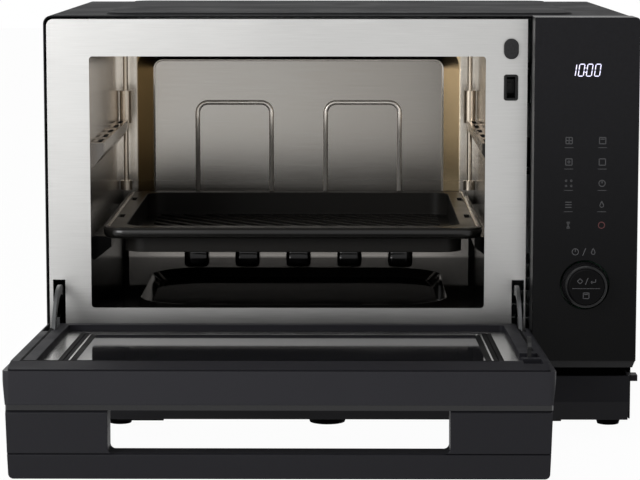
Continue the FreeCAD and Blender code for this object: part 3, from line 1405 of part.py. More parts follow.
def latch_hook():
    """Sprung hook of the door latch with its pivot boss."""
    owner = keep(body("latch_hook"))
    hang_on_hinge(owner)
    level = s.latch_height - s.hinge_height
    low = s.latch_centre - s.latch_hook / 2
    reach = DOOR_INSIDE + 14
    shape = outline(sketch(owner, "hook_shape", "YZ", low), [
        (-3, level - 4), (reach, level - 3), (reach, level + 1), (reach - 4, level + 3),
        (reach - 7, level + 6), (reach - 9, level + 6), (reach - 9, level + 2), (-3, level + 4)])
    pad(owner, shape, s.latch_hook)
    boss = circle(sketch(owner, "hook_boss", "YZ", low - HOOK_BOSS), 0, level, HOOK_PIN * 1.6)
    pad(owner, boss, s.latch_hook + HOOK_BOSS * 2)
    pin = circle(sketch(owner, "hook_pin", "YZ", low - HOOK_BOSS - HOOK_CHEEK), 0, level, HOOK_PIN)
    pad(owner, pin, s.latch_hook + (HOOK_BOSS + HOOK_CHEEK) * 2)


def grill_tray():
    """Enamelled baking tray: tapered rim, slotted side flanges and a diagonally ribbed floor."""
    top = s.lower_ledge + s.tray_gap + s.tray_rim
    rim_under = s.lower_ledge + s.tray_gap
    bottom = top - s.tray_drop
    wall = s.tray_wall
    flange = s.tray_flange
    owner = body("tray_form", CAVITY_MIDDLE - s.tray_width / 2, FACE + s.tray_front)
    rim = sketch(owner, "tray_rim", "XY", top)
    rectangle(rim, (0, s.tray_width), (0, s.tray_depth), s.tray_radius)
    pad(owner, rim, s.tray_rim, back=True, taper=-s.tray_slope)
    tub = sketch(owner, "tray_tub", "XY", rim_under)
    rectangle(tub, (flange, s.tray_width - flange), (flange, s.tray_depth - flange), s.tray_radius)
    pad(owner, tub, rim_under - bottom, back=True)
    under = sketch(owner, "tray_under", "XY", rim_under)
    ring_inset = wall * 1.5 + s.tray_rim * 0.22
    rectangle(under, (ring_inset, s.tray_width - ring_inset), (ring_inset, s.tray_depth - ring_inset),
              s.tray_radius - ring_inset)
    rectangle(under, (flange - 0.01, s.tray_width - flange + 0.01),
              (flange - 0.01, s.tray_depth - flange + 0.01), s.tray_radius)
    pocket(owner, under, s.tray_rim - wall * 1.5, ahead=True)
    well = sketch(owner, "tray_well", "XY", top)
    inset = flange + wall
    rectangle(well, (inset, s.tray_width - inset), (inset, s.tray_depth - inset), s.tray_radius - wall)
    pocket(owner, well, s.tray_drop - wall)
    slots = sketch(owner, "tray_slots", "XY", top)
    for u in (flange * 0.55, s.tray_width - flange * 0.55):
        for v in (s.tray_depth * 0.3, s.tray_depth * 0.75):
            rectangle(slots, around(u, TRAY_SLOT_WIDTH), around(v, TRAY_SLOT_LENGTH))
    pocket(owner, slots, wall * 2)
    ribs = rib_field(bottom + wall, inset)
    keep(fuse("grill_tray", owner, ribs))


def rib_field(level, inset):
    """Parallel ribs across the tray floor, trimmed to a rounded field."""
    margin = inset + float(s.tray_radius) * 0.6
    x = (CAVITY_MIDDLE - s.tray_width / 2 + margin, CAVITY_MIDDLE + s.tray_width / 2 - margin)
    y = (FACE + s.tray_front + margin, FACE + s.tray_front + s.tray_depth - margin)
    field = block("rib_limits", x, y, (level, level + s.rib_height))
    reach = math.hypot(float(x[1] - x[0]), float(y[1] - y[0]))
    count = int(reach / float(s.rib_pitch)) + 1
    middle = Vector(float(x[0] + x[1]) / 2, float(y[0] + y[1]) / 2, float(level))
    turn = Rotation(Vector(0, 0, 1), -float(s.rib_angle))
    bars = []
    for number in range(-count // 2, count // 2 + 1):
        bar = DOC.addObject("Part::Box", f"rib_{number + count}")
        bar.Length = reach
        bind(bar, "Width", s.rib_width)
        bind(bar, "Height", s.rib_height)
        corner = turn.multVec(Vector(-reach / 2, number * float(s.rib_pitch), 0))
        bar.Placement = Placement(middle + corner, turn)
        bars.append(bar)
    item = DOC.addObject("Part::MultiCommon", "rib_field")
    item.Shapes = [fuse("rib_bars", *bars), field]
    return item


def drip_tray():
    """Trough under the door that catches water, with a finger tab at each end."""
    owner = keep(body("drip_tray", -s.drip_width / 2, FACE))
    bottom = BASE_TOP + s.drip_gap
    front = -s.drip_reach
    heel = front + (s.drip_bend - bottom) * 0.6
    back = s.drip_well - s.base_wall - s.drip_gap
    wall = s.drip_wall
    rear_top = s.drip_top * 0.7
    solid = outline(sketch(owner, "drip_solid", "YZ"), [
        (heel, bottom), (back, bottom), (back, rear_top), (back - wall, rear_top),
        (back - wall, s.drip_top), (front, s.drip_top), (front, s.drip_bend)])
    pad(owner, solid, s.drip_width)
    hollow = outline(sketch(owner, "drip_hollow", "YZ", wall), [
        (heel + wall * 0.6, bottom + wall), (back - wall, bottom + wall), (back - wall, s.drip_top + 1),
        (front + wall, s.drip_top + 1), (front + wall, s.drip_bend)])
    pocket(owner, hollow, s.drip_width - wall * 2, ahead=True)
    tabs = sketch(owner, "drip_tabs", "XY", s.drip_top - TAB_HEIGHT)
    for edge in ((-TAB_REACH, wall), (s.drip_width - wall, s.drip_width + TAB_REACH)):
        rectangle(tabs, edge, (front + 3, front + 3 + TAB_LENGTH))
    pad(owner, tabs, TAB_HEIGHT)


def build():
    """Make every piece."""
    outer_casing()
    back_plate()
    cord_inlet()
    base_plate()
    feet()
    front_frame()
    side_wall("cavity_left_wall", s.opening_left, 1)
    side_wall("cavity_right_wall", s.opening_left + s.cavity_width, -1)
    cavity_back_wall()
    cavity_ceiling()
    grill()
    lamp()
    cavity_floor()
    floor_glass()
    rack_post("left_rack_post", CAVITY_LEFT + s.post_inset)
    rack_post("right_rack_post", CAVITY_RIGHT - s.post_inset)
    power_parts()
    inverter()
    cooling_fan()
    filter_board()
    casing_screws()
    control_housing()
    control_glass()
    control_electronics()
    dial()
    latch_bezel()
    latch_switches()
    door_bumper()
    hinge_bracket("left_hinge_bracket", HINGE_CENTRES[0], 1)
    hinge_bracket("right_hinge_bracket", HINGE_CENTRES[1], -1)
    hinge_arm("left_hinge_arm", HINGE_CENTRES[0], 1)
    hinge_arm("right_hinge_arm", HINGE_CENTRES[1], -1)
    door_shell()
    door_front_glass()
    door_handle()
    door_inner_frame()
    door_liner()
    latch_hook()
    grill_tray()
    drip_tray()
    DOC.recompute()


def write_parts():
    """Check every object and write each piece to its own file."""
    faults = [item.Label for item in DOC.Objects if {"Invalid", "Error"} & set(item.State)]
    faults += [item.Label for item in NODES if item.Shape.isNull() or not item.Shape.isValid()]
    if faults:
        raise RuntimeError("failed objects: " + ", ".join(faults))
    os.makedirs("parts", exist_ok=True)
    for item in NODES:
        item.Shape.exportStep(f"parts/{item.Label}.step")


build()
write_parts()
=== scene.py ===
from math import copysign, cos, pi, radians, sin, tau

import bmesh
import bpy
from bpy.props import FloatProperty, FloatVectorProperty, PointerProperty, StringProperty
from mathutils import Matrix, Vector


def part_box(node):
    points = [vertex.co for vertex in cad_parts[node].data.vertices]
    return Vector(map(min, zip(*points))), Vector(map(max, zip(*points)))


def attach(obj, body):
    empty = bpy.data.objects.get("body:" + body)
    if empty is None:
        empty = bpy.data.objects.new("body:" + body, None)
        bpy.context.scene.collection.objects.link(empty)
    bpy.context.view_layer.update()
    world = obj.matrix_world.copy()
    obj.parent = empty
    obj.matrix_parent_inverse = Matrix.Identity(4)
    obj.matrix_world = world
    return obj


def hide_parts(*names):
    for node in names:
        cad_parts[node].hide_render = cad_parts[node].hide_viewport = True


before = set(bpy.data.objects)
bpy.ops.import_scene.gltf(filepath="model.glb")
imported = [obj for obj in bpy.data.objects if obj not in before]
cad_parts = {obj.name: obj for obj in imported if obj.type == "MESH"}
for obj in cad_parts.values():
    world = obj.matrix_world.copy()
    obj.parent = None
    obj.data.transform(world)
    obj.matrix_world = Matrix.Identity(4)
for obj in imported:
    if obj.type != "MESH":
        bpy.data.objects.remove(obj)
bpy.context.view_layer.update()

bl_info = {
    "name": "Combination oven",
    "version": (1, 0, 0),
    "blender": (4, 5, 0),
    "location": "View3D > Sidebar > Oven",
    "description": "Finishes, printed marks and stage of a countertop combination oven",
    "category": "Object",
}

PANEL_LOW, PANEL_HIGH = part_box("control_glass")
PANEL_MIDDLE = (PANEL_LOW.x + PANEL_HIGH.x) / 2
BUTTON_LOW, BUTTON_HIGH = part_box("dial_button")
DIAL_CENTRE = (BUTTON_LOW + BUTTON_HIGH) / 2
FLOOR_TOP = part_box("cavity_left_wall")[0].z
TRAY_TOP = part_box("grill_tray")[1].z
CASING_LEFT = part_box("outer_casing")[0].x
HINGE_Y, HINGE_Z = -0.05565, 0.0768
DOOR_OPEN = radians(87.4)
PRINT_PROUD = 0.00012
BOTH_ENDS = (0, -1)
BUMP_DISTANCE = 0.0002
MIX_FACTOR, MIX_A, MIX_B, MIX_RESULT = 0, 6, 7, 2  # sockets of a colour Mix node
GLOSSY_SPEC, DULL_SPEC, FAINT_SPEC = 0.4, 0.03, 0.02


def setting(kind, **fixed):
    """Maker of the settings of one kind."""
    def make(name, description, default):
        return kind(name=name, description=description, default=default, **fixed)
    return make


colour = setting(FloatVectorProperty, size=3, subtype="COLOR", min=0.0, max=1.0)
length = setting(FloatProperty, unit="LENGTH", subtype="DISTANCE", min=0.0)
pair = setting(FloatVectorProperty, size=2, unit="LENGTH")
triple = setting(FloatVectorProperty, size=3, unit="LENGTH")
angle = setting(FloatProperty, subtype="ANGLE")


class OVEN_PG_finishes(bpy.types.PropertyGroup):
    """Colours of the oven's surfaces."""

    casing: colour("Casing", "Powder coat of the outer sheet", (0.014, 0.014, 0.015))
    steel: colour("Front steel", "Brushed steel of the front frame", (0.515, 0.512, 0.503))
    liner: colour("Cavity steel", "Warm polished steel of the cavity", (0.50, 0.465, 0.43))
    plated: colour("Plated sheet", "Zinc plated sheet metal", (0.52, 0.53, 0.54))
    enamel: colour("Enamel", "Black enamel of floor and tray", (0.0050, 0.0047, 0.0043))
    # The two golden tints differ by painted light: the left slope's is darkened as painted shade, the right
    # slope's lightened as painted light.
    gold: colour("Warm sheen", "Tempered tint of the rear wall's left slope", (0.19, 0.134, 0.064))
    pale_gold: colour("Pale sheen", "Tempered tint of the rear wall's right slope", (0.92, 0.74, 0.47))
    door: colour("Door plastic", "Dark grey moulding of the door", (0.0119, 0.0117, 0.0146))
    plastic: colour("Black plastic", "Black mouldings", (0.0075, 0.0075, 0.008))
    glass: colour("Panel glass", "Back-painted black glass", (0.0055, 0.0055, 0.0062))
    board: colour("Circuit board", "Solder mask of the boards", (0.012, 0.085, 0.040))
    copper: colour("Copper", "Windings", (0.60, 0.24, 0.09))


class OVEN_PG_rear(bpy.types.PropertyGroup):
    """Sizes of the rear wall's foot, arched beads and fold, and of the bumps in front of it."""

    foot_height: length("Foot height", "Height of the foot", 0.028)
    foot_lean: length("Foot lean", "How far the foot stands out at the floor", 0.001)
    foot_margin: length("Foot margin", "From the side walls to the foot's ends", 0.006)
    arch_width: length("Arch width", "Width of an arch along its middle line", 0.0724)
    arch_spacing: length("Arch spacing", "Distance between the arches", 0.1256)
    arch_drop: length("Arch drop", "From the wall's top to an arch", 0.0634)
    arch_bottom: length("Arch bottom", "Height of an arch's lower ends", 0.160)
    arch_radius: length("Arch radius", "Radius of an arch's bends", 0.0102)
    half_width: length("Bead half width", "Half the width of a bead", 0.0023)
    proud: length("Bead height", "How far a bead stands out", 0.0019)
    sheet: length("Sheet", "From the wall's back to the field's face", 0.00115)
    fold_side: length("Fold side", "From the wall's sides to the fold", 0.0314)
    fold_drop: length("Fold drop", "From the wall's top to the fold", 0.0219)
    fold_radius: length("Fold radius", "Radius of the fold's corners", 0.0085)
    fold_half: length("Fold half width", "Half the width of the fold's rounding", 0.001)
    bump_pitch: length("Bump pitch", "Distance between the bumps", 0.05)
    bump_half: triple("Bump half size", "Half width, half depth and height", (0.0121, 0.0056, 0.0094))


class OVEN_PG_tray(bpy.types.PropertyGroup):
    """Sizes of the rolled bead round the tray's rim."""

    bead_height: length("Bead height", "Height of the bead's outer face", 0.0094)
    bead_width: length("Bead width", "How far the bead reaches over the rim's top", 0.006)
    rim_radius: length("Rim radius", "Corner radius of the rim", 0.0185)


class OVEN_PG_door(bpy.types.PropertyGroup):
    """Strip over the door's choke and print on its pane, measured on the closed door from the hinge."""

    choke_low: pair("Choke low", "Lower left outer corner of the strip", (0.0347, 0.0302))
    choke_high: pair("Choke high", "Upper right outer corner of the strip", (0.3765, 0.2380))
    choke_width: length("Choke width", "Width of the strip", 0.0076)
    pane_low: pair("Pane low", "Lower left corner of the inner pane", (0.0440, 0.0395))
    pane_high: pair("Pane high", "Upper right corner of the inner pane", (0.3672, 0.2285))
    pane_border: length("Pane border", "Width of the black print round the pane", 0.0045)
    pane_level: length("Pane level", "Height of the pane's face over the hinge axis", 0.0124)


class OVEN_PG_seam(bpy.types.PropertyGroup):
    """Black strip in the door's inner frame, a painted shadow of the seam's gap, measured on the closed door
    from the hinge.
    """

    left: length("Left", "From the door's left edge to the left line", 0.0106)
    right: length("Right", "From the door's left edge to the right line", 0.4006)
    low: length("Low", "Lower end of the upright lines", 0.026)
    high: length("High", "Upper edge of the cross line", 0.2526)
    latch_low: length("Latch low", "Upper end of the right line, below the latch", 0.19)
    latch_left: length("Latch left", "Right end of the cross line, left of the latch", 0.37)
    width: length("Width", "Width of the line", 0.002)
    level: length("Level", "Height of the seam over the hinge axis", 0.018)
    proud: length("Proud", "Thickness of the seam strip", 0.0002)


class OVEN_PG_marks(bpy.types.PropertyGroup):
    """Display digits and printed marks of the control panel."""

    number: StringProperty(name="Number", description="Digits on the display", default="1000")
    glow: colour("Glow", "Colour of the lit segments", (0.80, 0.78, 1.0))
    ink: colour("Ink", "Colour of the printed marks", (0.043, 0.043, 0.046))
    warning: colour("Stop ink", "Colour of the stop mark", (0.075, 0.011, 0.011))
    digit_height: length("Digit height", "Height of a display digit", 0.0099)
    digit_drop: length("Digit drop", "From the panel's top to the digits' feet", 0.0487)
    mark_size: length("Mark size", "Height of a printed mark", 0.0062)


class OVEN_PG_stage(bpy.types.PropertyGroup):
    """Camera and floor."""

    focal: FloatProperty(name="Focal length", description="Lens of the camera in millimetres", default=142.09)
    pitch: angle("Pitch", "Downward tilt of the camera", radians(7.24))
    turn: angle("Turn", "Camera turn to the left", radians(0.44))
    place: triple("Place", "Camera position", (0.00025, -2.17324, 0.4347))
    floor: colour("Floor", "Colour of the floor", (0.86, 0.86, 0.86))


def add(tree, kind, inputs=None, **attributes):
    """New node with its attributes set, then its input values."""
    node = tree.nodes.new(kind)
    for key, value in attributes.items():
        setattr(node, key, value)
    for socket, value in (inputs or {}).items():
        node.inputs[socket].default_value = value
    return node


def join(tree, *links):
    """Links, each given as a node, its output, the next node and its input."""
    for source, output, target, entry in links:
        tree.links.new(source.outputs[output], target.inputs[entry])


def group_tree(name, inputs, outputs):
    """Empty shader group with float and vector inputs and float outputs."""
    tree = bpy.data.node_groups.new(name, "ShaderNodeTree")
    for label, default in inputs.items():
        kind = "NodeSocketVector" if isinstance(default, tuple) else "NodeSocketFloat"
        tree.interface.new_socket(name=label, in_out="INPUT", socket_type=kind).default_value = default
    for label in outputs:
        tree.interface.new_socket(name=label, in_out="OUTPUT", socket_type="NodeSocketFloat")
    return tree, add(tree, "NodeGroupInput"), add(tree, "NodeGroupOutput")


def brushed_group(name):
    """Fine parallel scratches of brushed sheet, with slow changes along the sheet."""
    tree, entry, leave = group_tree(name, {"Stretch": (1.0, 1.0, 1.0), "Contrast": 0.5}, ("Tone", "Height"))
    place = add(tree, "ShaderNodeTexCoord")
    scale = add(tree, "ShaderNodeVectorMath", operation="MULTIPLY")
    lines = add(tree, "ShaderNodeTexNoise", {"Scale": 1.0, "Detail": 3.0, "Roughness": 0.65})
    cloud = add(tree, "ShaderNodeTexNoise", {"Scale": 9.0, "Detail": 2.0})
    mix = add(tree, "ShaderNodeMix", {"Factor": 0.35}, data_type="FLOAT")
    spread = add(tree, "ShaderNodeMapRange", {"From Min": 0.25, "From Max": 0.75})
    shrink = add(tree, "ShaderNodeMath", operation="MULTIPLY")
    join(tree, (place, "Object", scale, 0), (entry, "Stretch", scale, 1), (scale, 0, lines, "Vector"),
         (place, "Object", cloud, "Vector"), (lines, "Fac", mix, "A"), (cloud, "Fac", mix, "B"),
         (mix, "Result", spread, "Value"), (spread, "Result", shrink, 0), (entry, "Contrast", shrink, 1),
         (shrink, 0, leave, "Tone"), (lines, "Fac", leave, "Height"))
    return tree


def grained_group(name):
    """Fine grain of mouldings and coats, with faint smears of handling."""
    tree, entry, leave = group_tree(name, {"Scale": 1800.0, "Smear scale": 14.0, "Contrast": 0.5},
                                    ("Tone", "Smear", "Height"))
    place = add(tree, "ShaderNodeTexCoord")
    grain = add(tree, "ShaderNodeTexNoise", {"Detail": 2.0})
    smear = add(tree, "ShaderNodeTexNoise", {"Detail": 4.0, "Distortion": 0.6})
    shrink = add(tree, "ShaderNodeMath", operation="MULTIPLY")
    spread = add(tree, "ShaderNodeMapRange", {"From Min": 0.3, "From Max": 0.7})
    join(tree, (place, "Object", grain, "Vector"), (place, "Object", smear, "Vector"),
         (entry, "Scale", grain, "Scale"), (entry, "Smear scale", smear, "Scale"), (grain, "Fac", shrink, 0),
         (entry, "Contrast", shrink, 1), (smear, "Fac", spread, "Value"), (shrink, 0, leave, "Tone"),
         (spread, "Result", leave, "Smear"), (grain, "Fac", leave, "Height"))
    return tree


def fading_group(name):
    """Soft shade that grows downwards from one height to another, and its opposite."""
    tree, entry, leave = group_tree(name, {"Low": 0.0, "High": 1.0}, ("Shade", "Bright"))
    place = add(tree, "ShaderNodeTexCoord")
    split = add(tree, "ShaderNodeSeparateXYZ")
    slope = add(tree, "ShaderNodeMapRange", interpolation_type="SMOOTHSTEP")
    turn = add(tree, "ShaderNodeMath", {0: 1.0}, operation="SUBTRACT")
    join(tree, (place, "Object", split, 0), (split, "Z", slope, "Value"), (entry, "Low", slope, "From Min"),
         (entry, "High", slope, "From Max"), (slope, "Result", leave, "Bright"), (slope, "Result", turn, 1),
         (turn, 0, leave, "Shade"))
    return tree


def ends_group(name):
    """Mask of the faces that look to the front."""
    tree, _, leave = group_tree(name, {}, ("Ends",))
    surface = add(tree, "ShaderNodeNewGeometry")
    split = add(tree, "ShaderNodeSeparateXYZ")
    ends = add(tree, "ShaderNodeMapRange", {"From Min": -0.5, "From Max": -0.8},
               interpolation_type="SMOOTHSTEP")
    join(tree, (surface, "True Normal", split, 0), (split, "Y", ends, "Value"), (ends, "Result", leave, "Ends"))
    return tree


GROUPS = {"Brushed sheet": brushed_group, "Fine grain": grained_group, "Height fade": fading_group,
          "Front ends": ends_group}


def shared_group(name):
    """Shader group of that name, made on first use."""
    return bpy.data.node_groups.get(name) or GROUPS[name](name)


def shade(base, factor):
    """Colour made darker or lighter."""
    return [min(1.0, channel * factor) for channel in base]


def darkened(tree, tint, mask, dark):
    """Colour multiplied by a grey where a mask says so."""
    mix = add(tree, "ShaderNodeMix", {MIX_B: (dark, dark, dark, 1.0)}, data_type="RGBA", blend_type="MULTIPLY")
    tree.links.new(mask, mix.inputs[MIX_FACTOR])
    tree.links.new(tint, mix.inputs[MIX_A])
    return mix.outputs[MIX_RESULT]


def faded(tree, tint, fade, dulled=None):
    """Colour darkened downwards as painted shade; fade is the low height, the high height and the darkest
    share.
    """
    low, high, dark = fade
    slope = add(tree, "ShaderNodeGroup", {"Low": low, "High": high}, node_tree=shared_group("Height fade"))
    if dulled:
        tree.links.new(slope.outputs["Bright"], dulled)
    return darkened(tree, tint, slope.outputs["Shade"], dark)


def shaded_front_ends(tree, tint, dark):
    """Colour darkened on the end faces towards the front, as painted shade."""
    ends = add(tree, "ShaderNodeGroup", node_tree=shared_group("Front ends"))
    return darkened(tree, tint, ends.outputs["Ends"], dark)


def banded(tree, tint, bands):
    """Colour multiplied by upright bands; bands is the low X, the high X and pairs of X and tint."""
    low, high, stops = bands
    place = add(tree, "ShaderNodeTexCoord")
    split = add(tree, "ShaderNodeSeparateXYZ")
    across = add(tree, "ShaderNodeMapRange", {"From Min": low, "From Max": high})
    ramp = add(tree, "ShaderNodeValToRGB")
    marks = ramp.color_ramp.elements
    while len(marks) < len(stops):
        marks.new(0.5)
    for mark, (x, tone) in zip(marks, stops):
        mark.position = (x - low) / (high - low)
        mark.color = (*tone, 1.0)
    mix = add(tree, "ShaderNodeMix", {MIX_FACTOR: 1.0}, data_type="RGBA", blend_type="MULTIPLY")
    join(tree, (place, "Object", split, 0), (split, "X", across, "Value"), (across, "Result", ramp, "Fac"),
         (ramp, "Color", mix, MIX_B))
    tree.links.new(tint, mix.inputs[MIX_A])
    return mix.outputs[MIX_RESULT]


def new_material(name):
    """Material with its node tree and Principled shader."""
    material = bpy.data.materials.new(name)
    material.use_nodes = True
    return material, material.node_tree, material.node_tree.nodes["Principled BSDF"]


def finish(name, base, group, values, rough, metallic=0.0, tones=(0.85, 1.15), bump=0.0, edge=0.0, spec=0.5,
           fade=None, bands=None, caps=None, dull=False, **sockets):
    """Principled finish whose colour, gloss and relief come from a shared group."""
    material, tree, shader = new_material(name)
    for socket, value in {"Metallic": metallic, "Specular_IOR_Level": spec, **sockets}.items():
        shader.inputs[socket.replace("_", " ")].default_value = value
    pattern = add(tree, "ShaderNodeGroup", values, node_tree=shared_group(group))
    low, high = ((*shade(base, tone), 1.0) for tone in tones)
    ramp = add(tree, "ShaderNodeMix", {MIX_A: low, MIX_B: high}, data_type="RGBA")
    tint = ramp.outputs[MIX_RESULT]
    if bands:
        tint = banded(tree, tint, bands)
    # The fade paints shade that darkens the colour downwards; where asked, it also takes the metal away there.
    if fade:
        tint = faded(tree, tint, fade, shader.inputs["Metallic"] if dull else None)
    # Caps paint shade on the faces that look to the front.
    if caps:
        tint = shaded_front_ends(tree, tint, caps)
    tree.links.new(tint, shader.inputs["Base Color"])
    gloss = add(tree, "ShaderNodeMapRange", {"To Min": rough[0], "To Max": rough[1]})
    relief = add(tree, "ShaderNodeBump", {"Strength": bump, "Distance": BUMP_DISTANCE})
    wear = "Smear" if "Smear" in pattern.outputs else "Tone"
    join(tree, (pattern, "Tone", ramp, MIX_FACTOR), (pattern, wear, gloss, "Value"),
         (gloss, "Result", shader, "Roughness"), (pattern, "Height", relief, "Height"),
         (relief, "Normal", shader, "Normal"))
    if edge:
        soft = add(tree, "ShaderNodeBevel", {"Radius": edge}, samples=4)
        join(tree, (soft, "Normal", relief, "Normal"))
    return material


def brushed(name, base, stretch, rough, metallic=1.0, **more):
    """Brushed or rolled metal."""
    values = {"Stretch": stretch, "Contrast": 1.0}
    return finish(name, base, "Brushed sheet", values, rough, metallic=metallic, **more)


def grained(name, base, rough, scale=1800.0, smear=14.0, **more):
    """Moulded, painted or coated surface."""
    values = {"Scale": scale, "Smear scale": smear, "Contrast": 1.0}
    return finish(name, base, "Fine grain", values, rough, **more)


def dress(nodes, material):
    """Give a material to the CAD nodes that a string names."""
    for name in nodes.split():
        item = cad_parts[name]
        item.data.materials.clear()
        item.data.materials.append(material)


def coat(nodes, *values, **more):
    """Dress CAD nodes in a moulded, painted or coated finish."""
    dress(nodes, grained(*values, **more))


def metal(nodes, *values, **more):
    """Dress CAD nodes in a brushed or rolled metal."""
    dress(nodes, brushed(*values, **more))


def mesh_from(build, name):
    """Mesh from a function that fills a bmesh."""
    work = bmesh.new()
    build(work)
    bmesh.ops.recalc_face_normals(work, faces=work.faces)
    mesh = bpy.data.meshes.new(name)
    work.to_mesh(mesh)
    work.free()
    return mesh


def new_object(name, data):
    """Object in the scene's collection."""
    item = bpy.data.objects.new(name, data)
    bpy.context.scene.collection.objects.link(item)
    return item


def piece(name, build, material, body, smooth=False):
    """New object that rides on a body and wears the material it is given."""
    mesh = mesh_from(build, name)
    if smooth:
        mesh.shade_smooth()
    item = new_object(name, mesh)
    mesh.materials.append(material)
    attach(item, body)
    return item


def bridge(work, outlines, closed=False, caps=()):
    """Loops of vertices, bands of faces between them, and faces that fill the loops named by caps."""
    loops = [[work.verts.new(point) for point in outline] for outline in outlines]
    pairs = list(zip(loops, loops[1:]))
    if closed:
        pairs.append((loops[-1], loops[0]))
    for first, second in pairs:
        for index in range(len(first)):
            work.faces.new((first[index - 1], first[index], second[index], second[index - 1]))
    for index in caps:
        work.faces.new(loops[index])
    return loops


def turns(count):
    """Angles of a full turn in equal steps."""
    return [tau * step / count for step in range(count)]


def inset_loops(low, high, profile, radius, shrink, place, steps=6):
    """Rounded rectangles for the insets and levels of a profile; place makes a point of u, v and level."""
    loops = []
    for inset, level in profile:
        bend = radius - inset * shrink
        left, bottom = (side + inset + bend for side in low)
        right, top = (side - inset - bend for side in high)
        loop = []
        for u, v, start in ((right, top, 0.0), (left, top, 0.5), (left, bottom, 1.0), (right, bottom, 1.5)):
            for step in range(steps + 1):
                lean = pi * (start + 0.5 * step / steps)
                loop.append(place(u + bend * cos(lean), v + bend * sin(lean), level))
        loops.append(loop)
    return loops


def on_door(across, up, inward):
    """Point of the open door, from its distances along the hinge, up the closed door and towards the oven."""
    turn, lift = cos(DOOR_OPEN), sin(DOOR_OPEN)
    return (CASING_LEFT + across, HINGE_Y + inward * turn - up * lift, HINGE_Z + inward * lift + up * turn)


def stamp(work, outlines, place):
    """Raised print: outlines in the panel's X and Z, standing on the surface at place."""
    for outline in outlines:
        bridge(work, [[(place[0] + u, place[1] - rise, place[2] + v) for u, v in outline]
                      for rise in (PRINT_PROUD, 0.0)], caps=(0,))


def stroke(start, end, width):
    """Outline of a straight stroke with blunt ends."""
    along = Vector((end[0] - start[0], end[1] - start[1]))
    side = Vector((-along.y, along.x)).normalized() * (width / 2)
    low, high = Vector(start), Vector(end)
    return [low - side, high - side, high + side, low + side]


def path_strokes(points, width):
    """Strokes from point to point."""
    return [stroke(start, end, width) for start, end in zip(points, points[1:])]


def arc_strokes(centre, radius, width, count, first=0.0, last=tau):
    """Short strokes along an arc."""
    leans = [first + (last - first) * step / count for step in range(count + 1)]
    return path_strokes([(centre[0] + radius * cos(lean), centre[1] + radius * sin(lean))
                         for lean in leans], width)


class OVEN_OT_casing(bpy.types.Operator):
    """Powder-coated casing, plated sheets and rubber feet."""

    bl_idname = "oven.finish_casing"
    bl_label = "Casing finishes"

    def execute(self, context):
        tints = context.scene.oven_finishes
        coat("outer_casing", "casing_coat", tints.casing, (0.5, 0.62), scale=2600, bump=0.25, edge=0.0012,
             tones=(0.8, 1.25), spec=FAINT_SPEC)
        metal("back_plate casing_screws antenna_well waveguide heater_reflector door_screen", "plated_sheet",
              tints.plated, (60, 60, 900), (0.32, 0.48), tones=(0.8, 1.1))
        # The base plate is a darker copy of the casing coat: painted shade.
        coat("base_plate", "base_coat", shade(tints.casing, 0.4), (0.5, 0.62), scale=2600, bump=0.25,
             spec=DULL_SPEC)
        coat("feet", "rubber_feet", (0.0015, 0.0015, 0.0015), (0.62, 0.8), bump=0.5, spec=0.01)
        coat("door_bumper", "rubber_stop", (0.0155, 0.0153, 0.0165), (0.5, 0.65), scale=700, tones=(0.1, 2.2),
             bump=0.8, edge=0.0015, spec=0.25)
        return {"FINISHED"}


